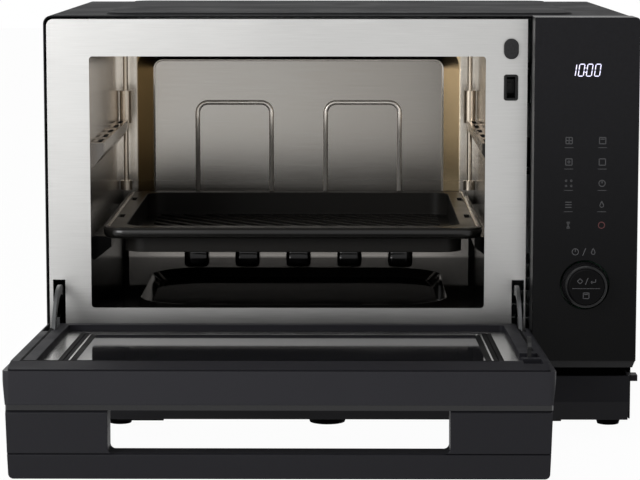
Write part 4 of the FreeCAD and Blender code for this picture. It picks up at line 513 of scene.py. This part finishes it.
class OVEN_OT_cavity(bpy.types.Operator):
    """Steel front frame, polished cavity and black enamelled floor."""

    bl_idname = "oven.finish_cavity"
    bl_label = "Cavity finishes"

    def execute(self, context):
        tints = context.scene.oven_finishes
        wall_spec = 0.04
        # The frame's colour darkens downwards round the floor's height: a painted shadow from the open door.
        metal("front_frame", "front_steel", tints.steel, (30, 30, 2200), (0.30, 0.42), tones=(0.88, 1.09),
              bump=0.03, fade=(FLOOR_TOP - 0.02, FLOOR_TOP + 0.02, 0.45))
        # Each wall's steel is a lightened copy of the cavity steel, more on the left wall and ceiling than on
        # the right wall: painted light.
        for sheets, name, painted_light_share in (("cavity_left_wall cavity_ceiling", "left_steel", 1.75),
                                       ("cavity_right_wall", "right_steel", 1.3)):
            metal(sheets, name, shade(tints.liner, painted_light_share), (40, 40, 1600), (0.15, 0.24), tones=(0.92, 1.05),
                  # Below the tray's top the walls are darkened and made less metallic: painted shade.
                  # The wall faces that look to the front are darkened too: painted shade.
                  fade=(TRAY_TOP - 0.0125, TRAY_TOP + 0.027, 0.003), caps=0.16, dull=True, spec=wall_spec)
        metal("cavity_back_wall", "rear_steel", (0.98, 0.93, 0.86), (20, 400, 1800), (0.18, 0.28),
              tones=(0.82, 1.12), bump=0.03, edge=0.0014, bands=self.rear_bands(tints),
              # Below the tray's top the rear wall is darkened and made less metallic: painted shade.
              fade=(TRAY_TOP - 0.03, TRAY_TOP + 0.025, 0.02), dull=True, spec=wall_spec)
        metal("left_rack_post right_rack_post", "rack_rod", (0.52, 0.46, 0.38), (900, 900, 30), (0.22, 0.34))
        coat("cavity_floor", "floor_enamel", tints.enamel, (0.03, 0.07), scale=900, tones=(0.6, 1.6), bump=0.02,
             edge=0.001, spec=0.45)
        coat("floor_glass", "floor_ceramic", tints.enamel, (0.04, 0.10), scale=600, tones=(0.5, 1.4),
             spec=FAINT_SPEC)
        coat("lamp_lens grill_heaters", "lamp_glass", (0.8, 0.78, 0.74), (0.2, 0.35), scale=700)
        return {"FINISHED"}

    def rear_bands(self, tints):
        """Plain outer strips, golden slopes darkened on the left as painted shade and lightened on the right as
        painted light, and the middle darkened as painted shade, more towards the right.
        """
        low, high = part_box("cavity_back_wall")
        strip, slope, soft = 0.0152, 0.0165, 0.001
        # bright and field are painted shade on the same steel as the plain strips: the middle darkens from
        # bright at its left to field at its right.
        plain, bright, field = (1.0, 0.97, 0.93), (0.49, 0.48, 0.47), (0.30, 0.29, 0.28)
        stops = [(low.x, plain)]
        for edge, before, after in ((low.x + strip, plain, tints.gold),
                                    (low.x + strip + slope, tints.gold, bright),
                                    (high.x - strip - slope, field, tints.pale_gold),
                                    (high.x - strip, tints.pale_gold, plain)):
            stops += [(edge - soft, before), (edge + soft, after)]
        return low.x, high.x, stops + [(high.x, plain)]


def arch_path(centre, half, top, bottom, bend, steps=8):
    """Points of an arch's middle line in X and Z, each with its outward direction."""
    points = [((centre - half, bottom), (-1.0, 0.0))]
    for side, start in ((-1.0, 1.0), (1.0, 0.5)):
        middle = (centre + side * (half - bend), top - bend)
        for step in range(steps + 1):
            lean = pi * (start - 0.5 * step / steps)
            out = (cos(lean), sin(lean))
            points.append(((middle[0] + bend * out[0], middle[1] + bend * out[1]), out))
    points.append(((centre + half, bottom), (1.0, 0.0)))
    return points


def sweep_bead(work, path, face, half_width, proud, steps=10):
    """Half-round bead along a path, standing out to the front from a face."""
    leans = [pi * step / steps for step in range(steps + 1)]
    section = [(half_width * cos(lean), proud * sin(lean)) for lean in leans]
    bridge(work, [[(x + out * across, face - rise, z + up * across) for across, rise in section]
                  for (x, z), (out, up) in path], caps=BOTH_ENDS)


class OVEN_OT_rear(bpy.types.Operator):
    """Folded foot of the rear wall, its half-round arched beads and the rounded fold round its field."""

    bl_idname = "oven.rear_forms"
    bl_label = "Rear wall forms"

    def execute(self, context):
        rear = context.scene.oven_rear
        low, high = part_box("cavity_back_wall")
        ahead, behind, top = low.y - rear.foot_lean, low.y + 0.0003, FLOOR_TOP + rear.foot_height
        profile = [(ahead, FLOOR_TOP), (ahead, FLOOR_TOP + 0.0008), (low.y - 0.0001, top), (behind, top),
                   (behind, FLOOR_TOP)]
        left, right, spans = low.x + rear.foot_margin, high.x - rear.foot_margin, 12
        face, middle = high.y - rear.sheet, (low.x + high.x) / 2

        def foot(work):
            bridge(work, [[(left + (right - left) * step / spans, y, z) for y, z in profile]
                          for step in range(spans + 1)], caps=BOTH_ENDS)

        def arches(work):
            for side in (-0.5, 0.5):
                path = arch_path(middle + side * rear.arch_spacing, rear.arch_width / 2,
                                 high.z - rear.arch_drop, rear.arch_bottom, rear.arch_radius)
                sweep_bead(work, path, face, rear.half_width, rear.proud)

        def fold(work):
            path = arch_path(middle, (high.x - low.x) / 2 - rear.fold_side, high.z - rear.fold_drop,
                             rear.arch_bottom, rear.fold_radius)
            sweep_bead(work, path, face, rear.fold_half, rear.fold_half * 0.6)

        # The foot's steel is a darker copy of the rear wall's steel: painted shade.
        dull = brushed("foot_steel", (0.38, 0.36, 0.335), (20, 400, 1800), (0.17, 0.25), tones=(0.9, 1.05))
        bright = brushed("arch_steel", (1.0, 0.95, 0.88), (400, 400, 400), (0.26, 0.36), metallic=0.6,
                         tones=(0.94, 1.0))
        for name, build, steel in (("rear_foot", foot, dull), ("rear_arches", arches, bright),
                                   ("rear_fold", fold, bright)):
            piece(name, build, steel, "housing", smooth=steel is bright)
        return {"FINISHED"}


class OVEN_OT_bumps(bpy.types.Operator):
    """Rounded enamel skins of the five bumps at the rear of the floor."""

    bl_idname = "oven.floor_bumps"
    bl_label = "Floor bumps"

    def execute(self, context):
        rear = context.scene.oven_rear
        wide, deep, tall = rear.bump_half
        low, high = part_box("cavity_floor")
        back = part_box("cavity_back_wall")[0].y - 0.005
        levels, last_lean, flank, corner = 8, pi / 2 * 0.96, 0.4, 0.5

        def power(value):
            return copysign(abs(value) ** corner, value)

        def pillows(work):
            for number in range(-2, 3):
                centre = (low.x + high.x) / 2 + number * rear.bump_pitch
                loops = []
                for level in range(levels + 1):
                    lean = last_lean * level / levels
                    shrink, rise = cos(lean) ** flank, tall * sin(lean) ** flank
                    loops.append([(centre + wide * shrink * power(cos(turn)),
                                   back + deep * shrink * power(sin(turn)), FLOOR_TOP + rise)
                                  for turn in turns(32)])
                bridge(work, loops, caps=(-1,))

        enamel = bpy.data.materials["floor_enamel"]
        piece("floor_bumps", pillows, enamel, "housing", smooth=True)
        return {"FINISHED"}


class OVEN_OT_trays(bpy.types.Operator):
    """Enamelled baking tray with the rolled bead round its rim, and moulded drip tray."""

    bl_idname = "oven.trays"
    bl_label = "Trays"

    def execute(self, context):
        tray, tints = context.scene.oven_tray, context.scene.oven_finishes
        coat("grill_tray", "tray_enamel", shade(tints.enamel, 2.4), (0.30, 0.40), scale=1500, tones=(0.6, 1.4),
             bump=0.08, edge=0.0018, spec=0.1)
        # The drip tray is a darker copy of the door plastic: painted shade.
        coat("drip_tray", "drip_moulding", shade(tints.door, 0.6), (0.4, 0.54), scale=2400, bump=0.2,
             edge=0.001, spec=0.1)
        low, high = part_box("grill_tray")
        tall, wide = tray.bead_height, tray.bead_width
        top, steps = high.z + 0.0003, 7
        profile = [(wide, -0.0006), (wide * 0.8, 0.0), (wide * 0.5, 0.0)]
        for step in range(1, steps + 1):
            lean = pi / 2 - pi * 0.9 * step / steps
            profile.append((wide * 0.5 - wide * 0.55 * cos(lean), tall / 2 * (sin(lean) - 1)))
        profile.append((wide * 0.6, -tall + 0.0012))

        def roll(work):
            bridge(work, inset_loops(low[:2], high[:2], profile, tray.rim_radius, 1.0,
                                     lambda u, v, drop: (u, v, top + drop), steps=8))

        enamel = grained("bead_enamel", tints.enamel, (0.16, 0.26), scale=1500, tones=(0.6, 1.4), bump=0.08,
                         spec=0.35)
        piece("tray_bead", roll, enamel, "tray", smooth=True)
        return {"FINISHED"}


class OVEN_OT_door(bpy.types.Operator):
    """Door mouldings, glasses, steel inner panel and hinges."""

    bl_idname = "oven.finish_door"
    bl_label = "Door finishes"

    def execute(self, context):
        tints = context.scene.oven_finishes
        coat("door_shell", "door_moulding", tints.door, (0.40, 0.52), scale=2400, bump=0.22, edge=0.0012,
             tones=(0.85, 1.2), spec=0.18)
        coat("door_handle", "handle_moulding", shade(tints.door, 0.72), (0.42, 0.54), scale=2400, bump=0.22,
             edge=0.001, tones=(0.85, 1.2), spec=0.14)
        # The inner frame is a darker copy of the door plastic: painted shade.
        coat("door_inner_frame", "ring_moulding", shade(tints.door, 0.75), (0.42, 0.56), scale=2200, bump=0.25,
             edge=0.0015, tones=(0.8, 1.15), spec=0.06)
        coat("door_front_glass", "outer_glass", tints.glass, (0.05, 0.09), scale=500, smear=8, spec=GLOSSY_SPEC)
        # The inner pane's glass is lightened 2.6 times: a painted reflection.
        coat("door_inner_glass", "inner_glass", shade(tints.glass, 2.6), (0.03, 0.06), scale=500, smear=8,
             spec=GLOSSY_SPEC)
        metal("door_steel_panel", "door_steel", tints.steel, (30, 30, 30), (0.16, 0.26), tones=(0.92, 1.05))
        metal("left_hinge_arm right_hinge_arm left_hinge_bracket right_hinge_bracket", "hinge_steel",
              shade(tints.plated, 0.12), (500, 500, 500), (0.3, 0.45), edge=0.0006)
        coat("latch_hook latch_bezel latch_bracket", "latch_moulding", shade(tints.plastic, 0.6), (0.3, 0.45),
             edge=0.0005, spec=0.25)
        return {"FINISHED"}


class OVEN_OT_frames(bpy.types.Operator):
    """Black strip over the choke of the door's steel panel, and black print round its inner pane."""

    bl_idname = "oven.door_frames"
    bl_label = "Door frames"

    def execute(self, context):
        door, tints = context.scene.oven_door, context.scene.oven_finishes
        wide, foot, shoulder, groove, top = door.choke_width, 0.0113, 0.0123, 0.0121, 0.0127
        strip = [(0.0, foot), (0.0, shoulder), (0.0006, top), (wide * 0.42, top), (wide * 0.5, groove),
                 (wide * 0.58, top), (wide - 0.0006, top), (wide, shoulder), (wide, foot)]
        edge, face, proud = door.pane_border, door.pane_level, door.pane_level + PRINT_PROUD
        border = [(0.0, face), (0.0, proud), (edge, proud), (edge, face)]
        plastic = grained("choke_moulding", shade(tints.plastic, 0.4), (0.5, 0.62), bump=0.15, spec=DULL_SPEC)
        ink = grained("border_ink", shade(tints.plastic, 0.3), (0.45, 0.6), scale=800, spec=DULL_SPEC)
        for name, low, high, profile, radius, shrink, material, slot in (
                ("choke_cover", door.choke_low, door.choke_high, strip, 0.0038, 0.35, plastic, "door_plastic"),
                ("pane_border", door.pane_low, door.pane_high, border, 0.003, 0.0, ink, "door_glass")):
            def ring(work):
                bridge(work, inset_loops(low, high, profile, radius, shrink, on_door), closed=True)

            piece(name, ring, material, "door")
        return {"FINISHED"}


class OVEN_OT_seam(bpy.types.Operator):
    """Black strip between the door's rim and its inner frame: a painted shadow of the seam's gap."""

    bl_idname = "oven.ring_seam"
    bl_label = "Ring seam"

    def execute(self, context):
        seam = context.scene.oven_seam
        inner, right, under = seam.left + seam.width, seam.right - seam.width, seam.high - seam.width
        corner = [(seam.left, seam.low), (inner, seam.low), (inner, under), (seam.latch_left, under),
                  (seam.latch_left, seam.high), (seam.left, seam.high)]
        side = [(right, seam.low), (seam.right, seam.low), (seam.right, seam.latch_low),
                (right, seam.latch_low)]

        def strips(work):
            for outline in (corner, side):
                bridge(work, [[on_door(u, v, level) for u, v in outline]
                              for level in (seam.level, seam.level + seam.proud)], caps=BOTH_ENDS)

        # The seam strip is a painted shadow of the gap between the rim and the inner frame.
        rubber = grained("seam_rubber", shade(context.scene.oven_finishes.plastic, 0.2), (0.55, 0.7), bump=0.2,
                         spec=FAINT_SPEC)
        piece("ring_seam", strips, rubber, "door")
        return {"FINISHED"}


def islands(mesh):
    """Boxes of the separate shells of a mesh."""
    work = bmesh.new()
    work.from_mesh(mesh)
    waiting, boxes = set(work.verts), []
    while waiting:
        found = [waiting.pop()]
        for vert in found:
            fresh = {edge.other_vert(vert) for edge in vert.link_edges} & waiting
            waiting -= fresh
            found.extend(fresh)
        axes = list(zip(*(vert.co for vert in found)))
        boxes.append([Vector([pick(axis) for axis in axes]) for pick in (min, max)])
    work.free()
    return boxes


class OVEN_OT_screws(bpy.types.Operator):
    """Domed cross-recess screws that hold the casing at the back."""

    bl_idname = "oven.casing_screws"
    bl_label = "Casing screws"

    def execute(self, context):
        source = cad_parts["casing_screws"]
        boxes = [[source.matrix_world @ corner for corner in box] for box in islands(source.data)]

        def heads(work):
            for low, high in boxes:
                self.head(work, low, high)

        zinc = brushed("screw_zinc", context.scene.oven_finishes.plated, (900, 900, 900), (0.25, 0.4),
                       edge=0.0002)
        item = piece("casing_screw_heads", heads, zinc, "housing")
        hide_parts("casing_screws")
        return {"FINISHED"}

    def head(self, work, low, high):
        """One head: a domed lathe shape with a cross cut into its outer face."""
        radius, tall, middle = (high.x - low.x) / 2, high.y - low.y, (low + high) / 2

        def loop(outline, level):
            return [(middle.x + u, low.y + tall * level, middle.z + v) for u, v in outline]

        circle = [(radius * cos(turn), radius * sin(turn)) for turn in turns(24)]
        rounds = bridge(work, [loop([(u * share, v * share) for u, v in circle], level) for share, level in
                               ((1.0, 0.0), (1.0, 0.35), (0.9, 0.75), (0.7, 1.0))], caps=(0,))
        arm, half = radius * 0.55, radius * 0.14
        cross = [(arm, -half), (arm, half), (half, half), (half, arm), (-half, arm), (-half, half),
                 (-arm, half), (-arm, -half), (-half, -half), (-half, -arm), (half, -arm), (half, -half)]
        recess = bridge(work, [loop(cross, level) for level in (1.0, 0.5)], caps=(-1,))
        edges = [work.edges.get((ring[index - 1], ring[index]))
                 for ring in (rounds[-1], recess[0]) for index in range(len(ring))]
        bmesh.ops.triangle_fill(work, edges=edges, use_beauty=True)


class OVEN_OT_panel(bpy.types.Operator):
    """Black glass, housing and dial of the control panel."""

    bl_idname = "oven.finish_panel"
    bl_label = "Control panel finishes"

    def execute(self, context):
        tints = context.scene.oven_finishes
        # The glass is lightened and darkens towards the bottom: a painted reflection.
        coat("control_glass", "panel_glass", shade(tints.glass, 2.2), (0.05, 0.10), scale=420, smear=7,
             tones=(0.8, 1.2), edge=0.0008, fade=(PANEL_LOW.z, PANEL_HIGH.z, 0.12), spec=0.08)
        coat("control_housing", "panel_moulding", tints.plastic, (0.35, 0.5), scale=2200, bump=0.2, edge=0.001,
             spec=0.2)
        coat("dial_ring", "dial_ring_lacquer", tints.plastic, (0.22, 0.32), scale=2600, bump=0.05, edge=0.0006,
             spec=0.18)
        coat("dial_button", "dial_button_lacquer", shade(tints.plastic, 0.5), (0.28, 0.4), scale=2600, bump=0.1,
             edge=0.0006, spec=0.04)
        return {"FINISHED"}


class OVEN_OT_machine(bpy.types.Operator):
    """Boards, fan, magnetron and other pieces behind the sheets, and a dark plate behind the switches that
    stands in for the shade inside the latch slot.
    """

    bl_idname = "oven.machine"
    bl_label = "Inner machine"

    def execute(self, context):
        tints = context.scene.oven_finishes
        coat("control_board inverter_board filter_board", "solder_mask", tints.board, (0.25, 0.4), scale=900,
             tones=(0.6, 1.5))
        moulding = grained("duct_moulding", tints.plastic, (0.4, 0.55), bump=0.2)
        dress("fan_duct fan_wheel cord_inlet door_switches dial_encoder display_module", moulding)
        metal("magnetron heat_sink stirrer_antenna antenna_motor fan_motor oven_lamp", "cast_metal",
              tints.plated, (700, 700, 700), (0.3, 0.45))
        metal("transformer", "winding_copper", tints.copper, (1400, 60, 60), (0.3, 0.45))
        # A dark plate behind the switches stands in for the shade inside the latch slot.
        low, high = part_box("door_switches")
        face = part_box("latch_bracket")[1].y + 0.0001
        profile = [(0.0, 0.0), (0.0, 0.0008), (0.0004, 0.0012)]

        def plate(work):
            bridge(work, inset_loops((low.x, low.z), (high.x, high.z), profile, 0.002, 1.0,
                                     lambda u, v, depth: (u, face + depth, v)), caps=BOTH_ENDS)

        piece("switch_shield", plate, moulding, "housing")
        return {"FINISHED"}


LIT = ("abcdef", "bc", "abged", "abgcd", "fgbc", "afgcd", "afgedc", "abc", "abcdefg", "abcdfg")
SLANT = 0.14


def segment_strokes(letters, height, width, thick):
    """Outlines of the lit segments of one slanted digit."""
    half, gap = height / 2, thick * 0.55
    ends = {"a": ((0, height), (width, height)), "b": ((width, half), (width, height)),
            "c": ((width, 0), (width, half)), "d": ((0, 0), (width, 0)), "e": ((0, 0), (0, half)),
            "f": ((0, half), (0, height)), "g": ((0, half), (width, half))}
    outlines = []
    for letter in letters:
        (u0, v0), (u1, v1) = ends[letter]
        du, dv = (0, gap) if u0 == u1 else (gap, 0)
        shape = stroke((u0 + du, v0 + dv), (u1 - du, v1 - dv), thick)
        outlines.append([(u + v * SLANT, v) for u, v in shape])
    return outlines


class OVEN_OT_display(bpy.types.Operator):
    """Lit digits behind the control glass."""

    bl_idname = "oven.display_digits"
    bl_label = "Display digits"

    def execute(self, context):
        marks = context.scene.oven_marks
        height = marks.digit_height
        width, pitch, dot = height * 0.43, height * 0.68, height * 0.08
        level = PANEL_HIGH.z - marks.digit_drop

        def digits(work):
            start = PANEL_MIDDLE - pitch * len(marks.number) / 2 - pitch * 0.15
            for number, digit in enumerate(marks.number):
                stamp(work, segment_strokes(LIT[int(digit)], height, width, height * 0.075),
                      (start + pitch * number, PANEL_LOW.y, level))
            colon = [stroke((rise * SLANT - dot / 2, rise), (rise * SLANT + dot / 2, rise), dot)
                     for rise in (height * 0.32, height * 0.68)]
            stamp(work, colon, (start + pitch * 2 - pitch * 0.18, PANEL_LOW.y, level))

        glow = grained("display_glow", marks.glow, (0.3, 0.4), scale=300, tones=(0.9, 1.0),
                       Emission_Color=(*marks.glow, 1.0), Emission_Strength=0.75)
        piece("display_digits", digits, glow, "housing")
        return {"FINISHED"}


def mark_shapes(size):
    """Outlines of the plain printed marks, drawn about their centres."""
    half = size / 2
    pen = size * 0.11

    def path(*points):
        return path_strokes([(half * u, half * v) for u, v in points], pen)

    def ring(share, count, u=0.0, v=0.0, **arc):
        return arc_strokes((half * u, half * v), half * share, pen, count, **arc)

    box = path((-0.85, -0.85), (0.85, -0.85), (0.85, 0.85), (-0.85, 0.85), (-0.85, -0.85))
    return {
        "grid": box + path((0, -0.8), (0, 0.8)) + path((-0.8, 0), (0.8, 0)),
        "box_bar": box + path((-0.6, 0.4), (0.6, 0.4)),
        "box_dot": box + ring(0.3, 8),
        "box": box,
        "bars": [shape for v in (0.7, 0.0, -0.7) for shape in path((-0.85, v), (0.85, v))],
        "dots": [shape for u in (-0.7, 0.7) for v in (-0.7, 0.7) for shape in ring(0.22, 8, u, v)],
        "ring": ring(0.85, 16),
        "ring_bar": ring(0.85, 16) + path((0, 0), (0, 0.8)),
        "glass": [shape for ends in (((-0.5, 0.8), (0.5, 0.8)), ((-0.5, -0.8), (0.5, -0.8)),
                                     ((-0.4, 0.8), (0.4, -0.8)), ((0.4, 0.8), (-0.4, -0.8)))
                  for shape in path(*ends)],
        "slash": path((-0.4, -1), (0.4, 1)),
        "label": [stroke((-size * 0.6, -size * 0.95), (size * 0.6, -size * 0.95), pen * 0.6)],
        "drop": ring(0.5, 12, 0.0, -0.2, first=radians(140), last=radians(400))
        + path((-0.4, 0.1), (0, 1)) + path((0.4, 0.1), (0, 1)),
        "diamond": path((-0.8, 0), (0, 0.8), (0.8, 0), (0, -0.8), (-0.8, 0)),
        "return": path((0.7, 0.6), (0.7, -0.3), (-0.7, -0.3), (-0.3, 0.1)) + path((-0.7, -0.3), (-0.3, -0.7)),
    }


TOUCH_ROWS = (0.1025, 0.1204, 0.1383, 0.1563, 0.1735)
TOUCH_COLUMNS = (PANEL_MIDDLE - 0.0145, PANEL_MIDDLE + 0.0134)
TOUCH_MARKS = (("grid", "box_bar"), ("box_dot", "box"), ("dots", "ring_bar"), ("bars", "drop"),
               ("glass", "ring"))
STOP_MARK = "ring"
DIAL_ROW = 0.196
DIAL_ROW_MARKS = (("ring_bar", -0.0082), ("slash", -0.0007), ("drop", 0.0068))
BUTTON_MARKS = (("diamond", -0.0052, 0.005), ("slash", 0.0004, 0.005), ("return", 0.0058, 0.005),
                ("box_bar", 0.0, -0.0072))


def print_ink(name, tint):
    """Matt ink of the printed marks."""
    return grained(name, tint, (0.4, 0.5), scale=800)


class OVEN_OT_touch_marks(bpy.types.Operator):
    """Printed touch fields on the control glass."""

    bl_idname = "oven.touch_marks"
    bl_label = "Touch marks"

    def execute(self, context):
        marks = context.scene.oven_marks
        shapes = mark_shapes(marks.mark_size)

        def print_fields(work, stop):
            for row, names in zip(TOUCH_ROWS, TOUCH_MARKS):
                for column, name in zip(TOUCH_COLUMNS, names):
                    if (name == STOP_MARK) == stop:
                        label = shapes["label"] if row != TOUCH_ROWS[-1] else []
                        stamp(work, shapes[name] + label, (column, PANEL_LOW.y, PANEL_HIGH.z - row))

        def print_touch(work):
            print_fields(work, False)
            for name, shift in DIAL_ROW_MARKS:
                stamp(work, shapes[name], (PANEL_MIDDLE + shift, PANEL_LOW.y, PANEL_HIGH.z - DIAL_ROW))

        ink, stop_ink = print_ink("touch_ink", marks.ink), print_ink("stop_ink", marks.warning)
        piece("touch_marks", print_touch, ink, "housing")
        piece("stop_mark", lambda work: print_fields(work, True), stop_ink, "housing")
        return {"FINISHED"}


class OVEN_OT_dial_marks(bpy.types.Operator):
    """Printed marks on the push button of the dial."""

    bl_idname = "oven.dial_marks"
    bl_label = "Dial marks"

    def execute(self, context):
        marks = context.scene.oven_marks
        shapes = mark_shapes(marks.mark_size * 0.9)
        half_line, line_level, line_width = 0.0115, -0.0012, 0.0004

        def print_button(work):
            face = BUTTON_LOW.y
            for name, u, v in BUTTON_MARKS:
                stamp(work, shapes[name], (DIAL_CENTRE.x + u, face, DIAL_CENTRE.z + v))
            divider = stroke((-half_line, line_level), (half_line, line_level), line_width)
            stamp(work, [divider], (DIAL_CENTRE.x, face, DIAL_CENTRE.z))

        piece("dial_marks", print_button, print_ink("dial_ink", marks.ink), "button")
        return {"FINISHED"}


class OVEN_OT_stage(bpy.types.Operator):
    """Pale floor, soft studio light and the camera."""

    bl_idname = "oven.stage"
    bl_label = "Stage"

    def execute(self, context):
        stage = context.scene.oven_stage
        self.make_floor(stage)
        self.make_world(context.scene)
        self.make_lights()
        view = new_object("view", bpy.data.cameras.new("view"))
        view.data.sensor_width = 36.0
        view.data.lens = stage.focal
        view.data.clip_end = 50.0
        view.location = stage.place
        view.rotation_euler = (pi / 2 - stage.pitch, 0.0, stage.turn)
        context.scene.camera = view
        context.scene.view_settings.view_transform = "Standard"
        return {"FINISHED"}

    def camera_seen(self, tree):
        """Node that gives one for camera, mirror and see-through rays."""
        path = add(tree, "ShaderNodeLightPath")
        first, second = (add(tree, "ShaderNodeMath", operation="MAXIMUM") for _ in range(2))
        join(tree, (path, "Is Camera Ray", first, 0), (path, "Is Glossy Ray", first, 1), (first, 0, second, 0),
             (path, "Is Transmission Ray", second, 1))
        return second

    def make_floor(self, stage):
        """Wide pale floor that looks white and keeps a soft shadow."""
        def grid(work):
            bmesh.ops.create_grid(work, x_segments=4, y_segments=4, size=8.0)

        mesh = mesh_from(grid, "floor")
        floor = new_object("floor", mesh)
        material, tree, shader = new_material("floor_paper")
        shader.inputs["Base Color"].default_value = (*stage.floor, 1.0)
        shader.inputs["Roughness"].default_value = 0.9
        glow = add(tree, "ShaderNodeEmission", {"Strength": 1.0})
        mix = add(tree, "ShaderNodeMixShader")
        share = add(tree, "ShaderNodeMath", {1: 0.97}, operation="MULTIPLY")
        join(tree, (self.camera_seen(tree), 0, share, 0), (share, 0, mix, 0), (shader, 0, mix, 1),
             (glow, 0, mix, 2), (mix, 0, tree.nodes["Material Output"], "Surface"))
        mesh.materials.append(material)

    def make_world(self, scene):
        """Even white surround, dimmer for the light it gives than for the eye."""
        world = bpy.data.worlds.new("studio")
        scene.world = world
        world.use_nodes = True
        tree = world.node_tree
        sky = tree.nodes["Background"]
        sky.inputs["Color"].default_value = (1.0, 1.0, 1.0, 1.0)
        level = add(tree, "ShaderNodeMapRange", {"To Min": 0.37, "To Max": 1.0})
        join(tree, (self.camera_seen(tree), 0, level, "Value"), (level, "Result", sky, "Strength"))

    def make_lights(self):
        """Three square area lights that face the oven."""
        aim = Vector((0.0, -0.1, 0.2))
        for name, place, size, power in (("key", (-1.1, -1.6, 0.75), 0.9, 23.5),
                                         ("fill", (2.2, -2.0, 1.2), 1.4, 1.0),
                                         ("top", (-0.4, -0.4, 2.2), 1.8, 15.0)):
            lamp = bpy.data.lights.new(name, "AREA")
            lamp.shape = "SQUARE"
            lamp.size = size
            lamp.energy = power
            item = new_object(name, lamp)
            item.location = place
            item.rotation_euler = (aim - Vector(place)).to_track_quat("-Z", "Y").to_euler()


class OVEN_PT_panel(bpy.types.Panel):
    """Sidebar list of the oven's settings and steps."""

    bl_label = "Combination oven"
    bl_idname = "OVEN_PT_panel"
    bl_space_type = "VIEW_3D"
    bl_region_type = "UI"
    bl_category = "Oven"

    def draw(self, context):
        for step in STEPS:
            self.layout.operator(step.bl_idname)
        for pointer, settings in SETTINGS.items():
            box = self.layout.box()
            for name in settings.__annotations__:
                box.prop(getattr(context.scene, pointer), name)


SETTINGS = {"oven_finishes": OVEN_PG_finishes, "oven_rear": OVEN_PG_rear, "oven_tray": OVEN_PG_tray,
            "oven_door": OVEN_PG_door, "oven_seam": OVEN_PG_seam, "oven_marks": OVEN_PG_marks,
            "oven_stage": OVEN_PG_stage}
STEPS = (OVEN_OT_casing, OVEN_OT_cavity, OVEN_OT_rear, OVEN_OT_bumps, OVEN_OT_trays, OVEN_OT_door,
         OVEN_OT_frames, OVEN_OT_seam, OVEN_OT_screws, OVEN_OT_panel, OVEN_OT_machine, OVEN_OT_display,
         OVEN_OT_touch_marks, OVEN_OT_dial_marks, OVEN_OT_stage)
CLASSES = (*SETTINGS.values(), *STEPS, OVEN_PT_panel)


def register():
    """Register the settings, steps and sidebar panel."""
    for item in CLASSES:
        bpy.utils.register_class(item)
    for pointer, settings in SETTINGS.items():
        setattr(bpy.types.Scene, pointer, PointerProperty(type=settings))


def unregister():
    """Remove what register added."""
    for pointer in SETTINGS:
        delattr(bpy.types.Scene, pointer)
    for item in reversed(CLASSES):
        bpy.utils.unregister_class(item)


def main():
    """Run every step."""
    register()
    for step in STEPS:
        group, name = step.bl_idname.split(".")
        getattr(getattr(bpy.ops, group), name)()


if __name__ == "__main__":
    main()
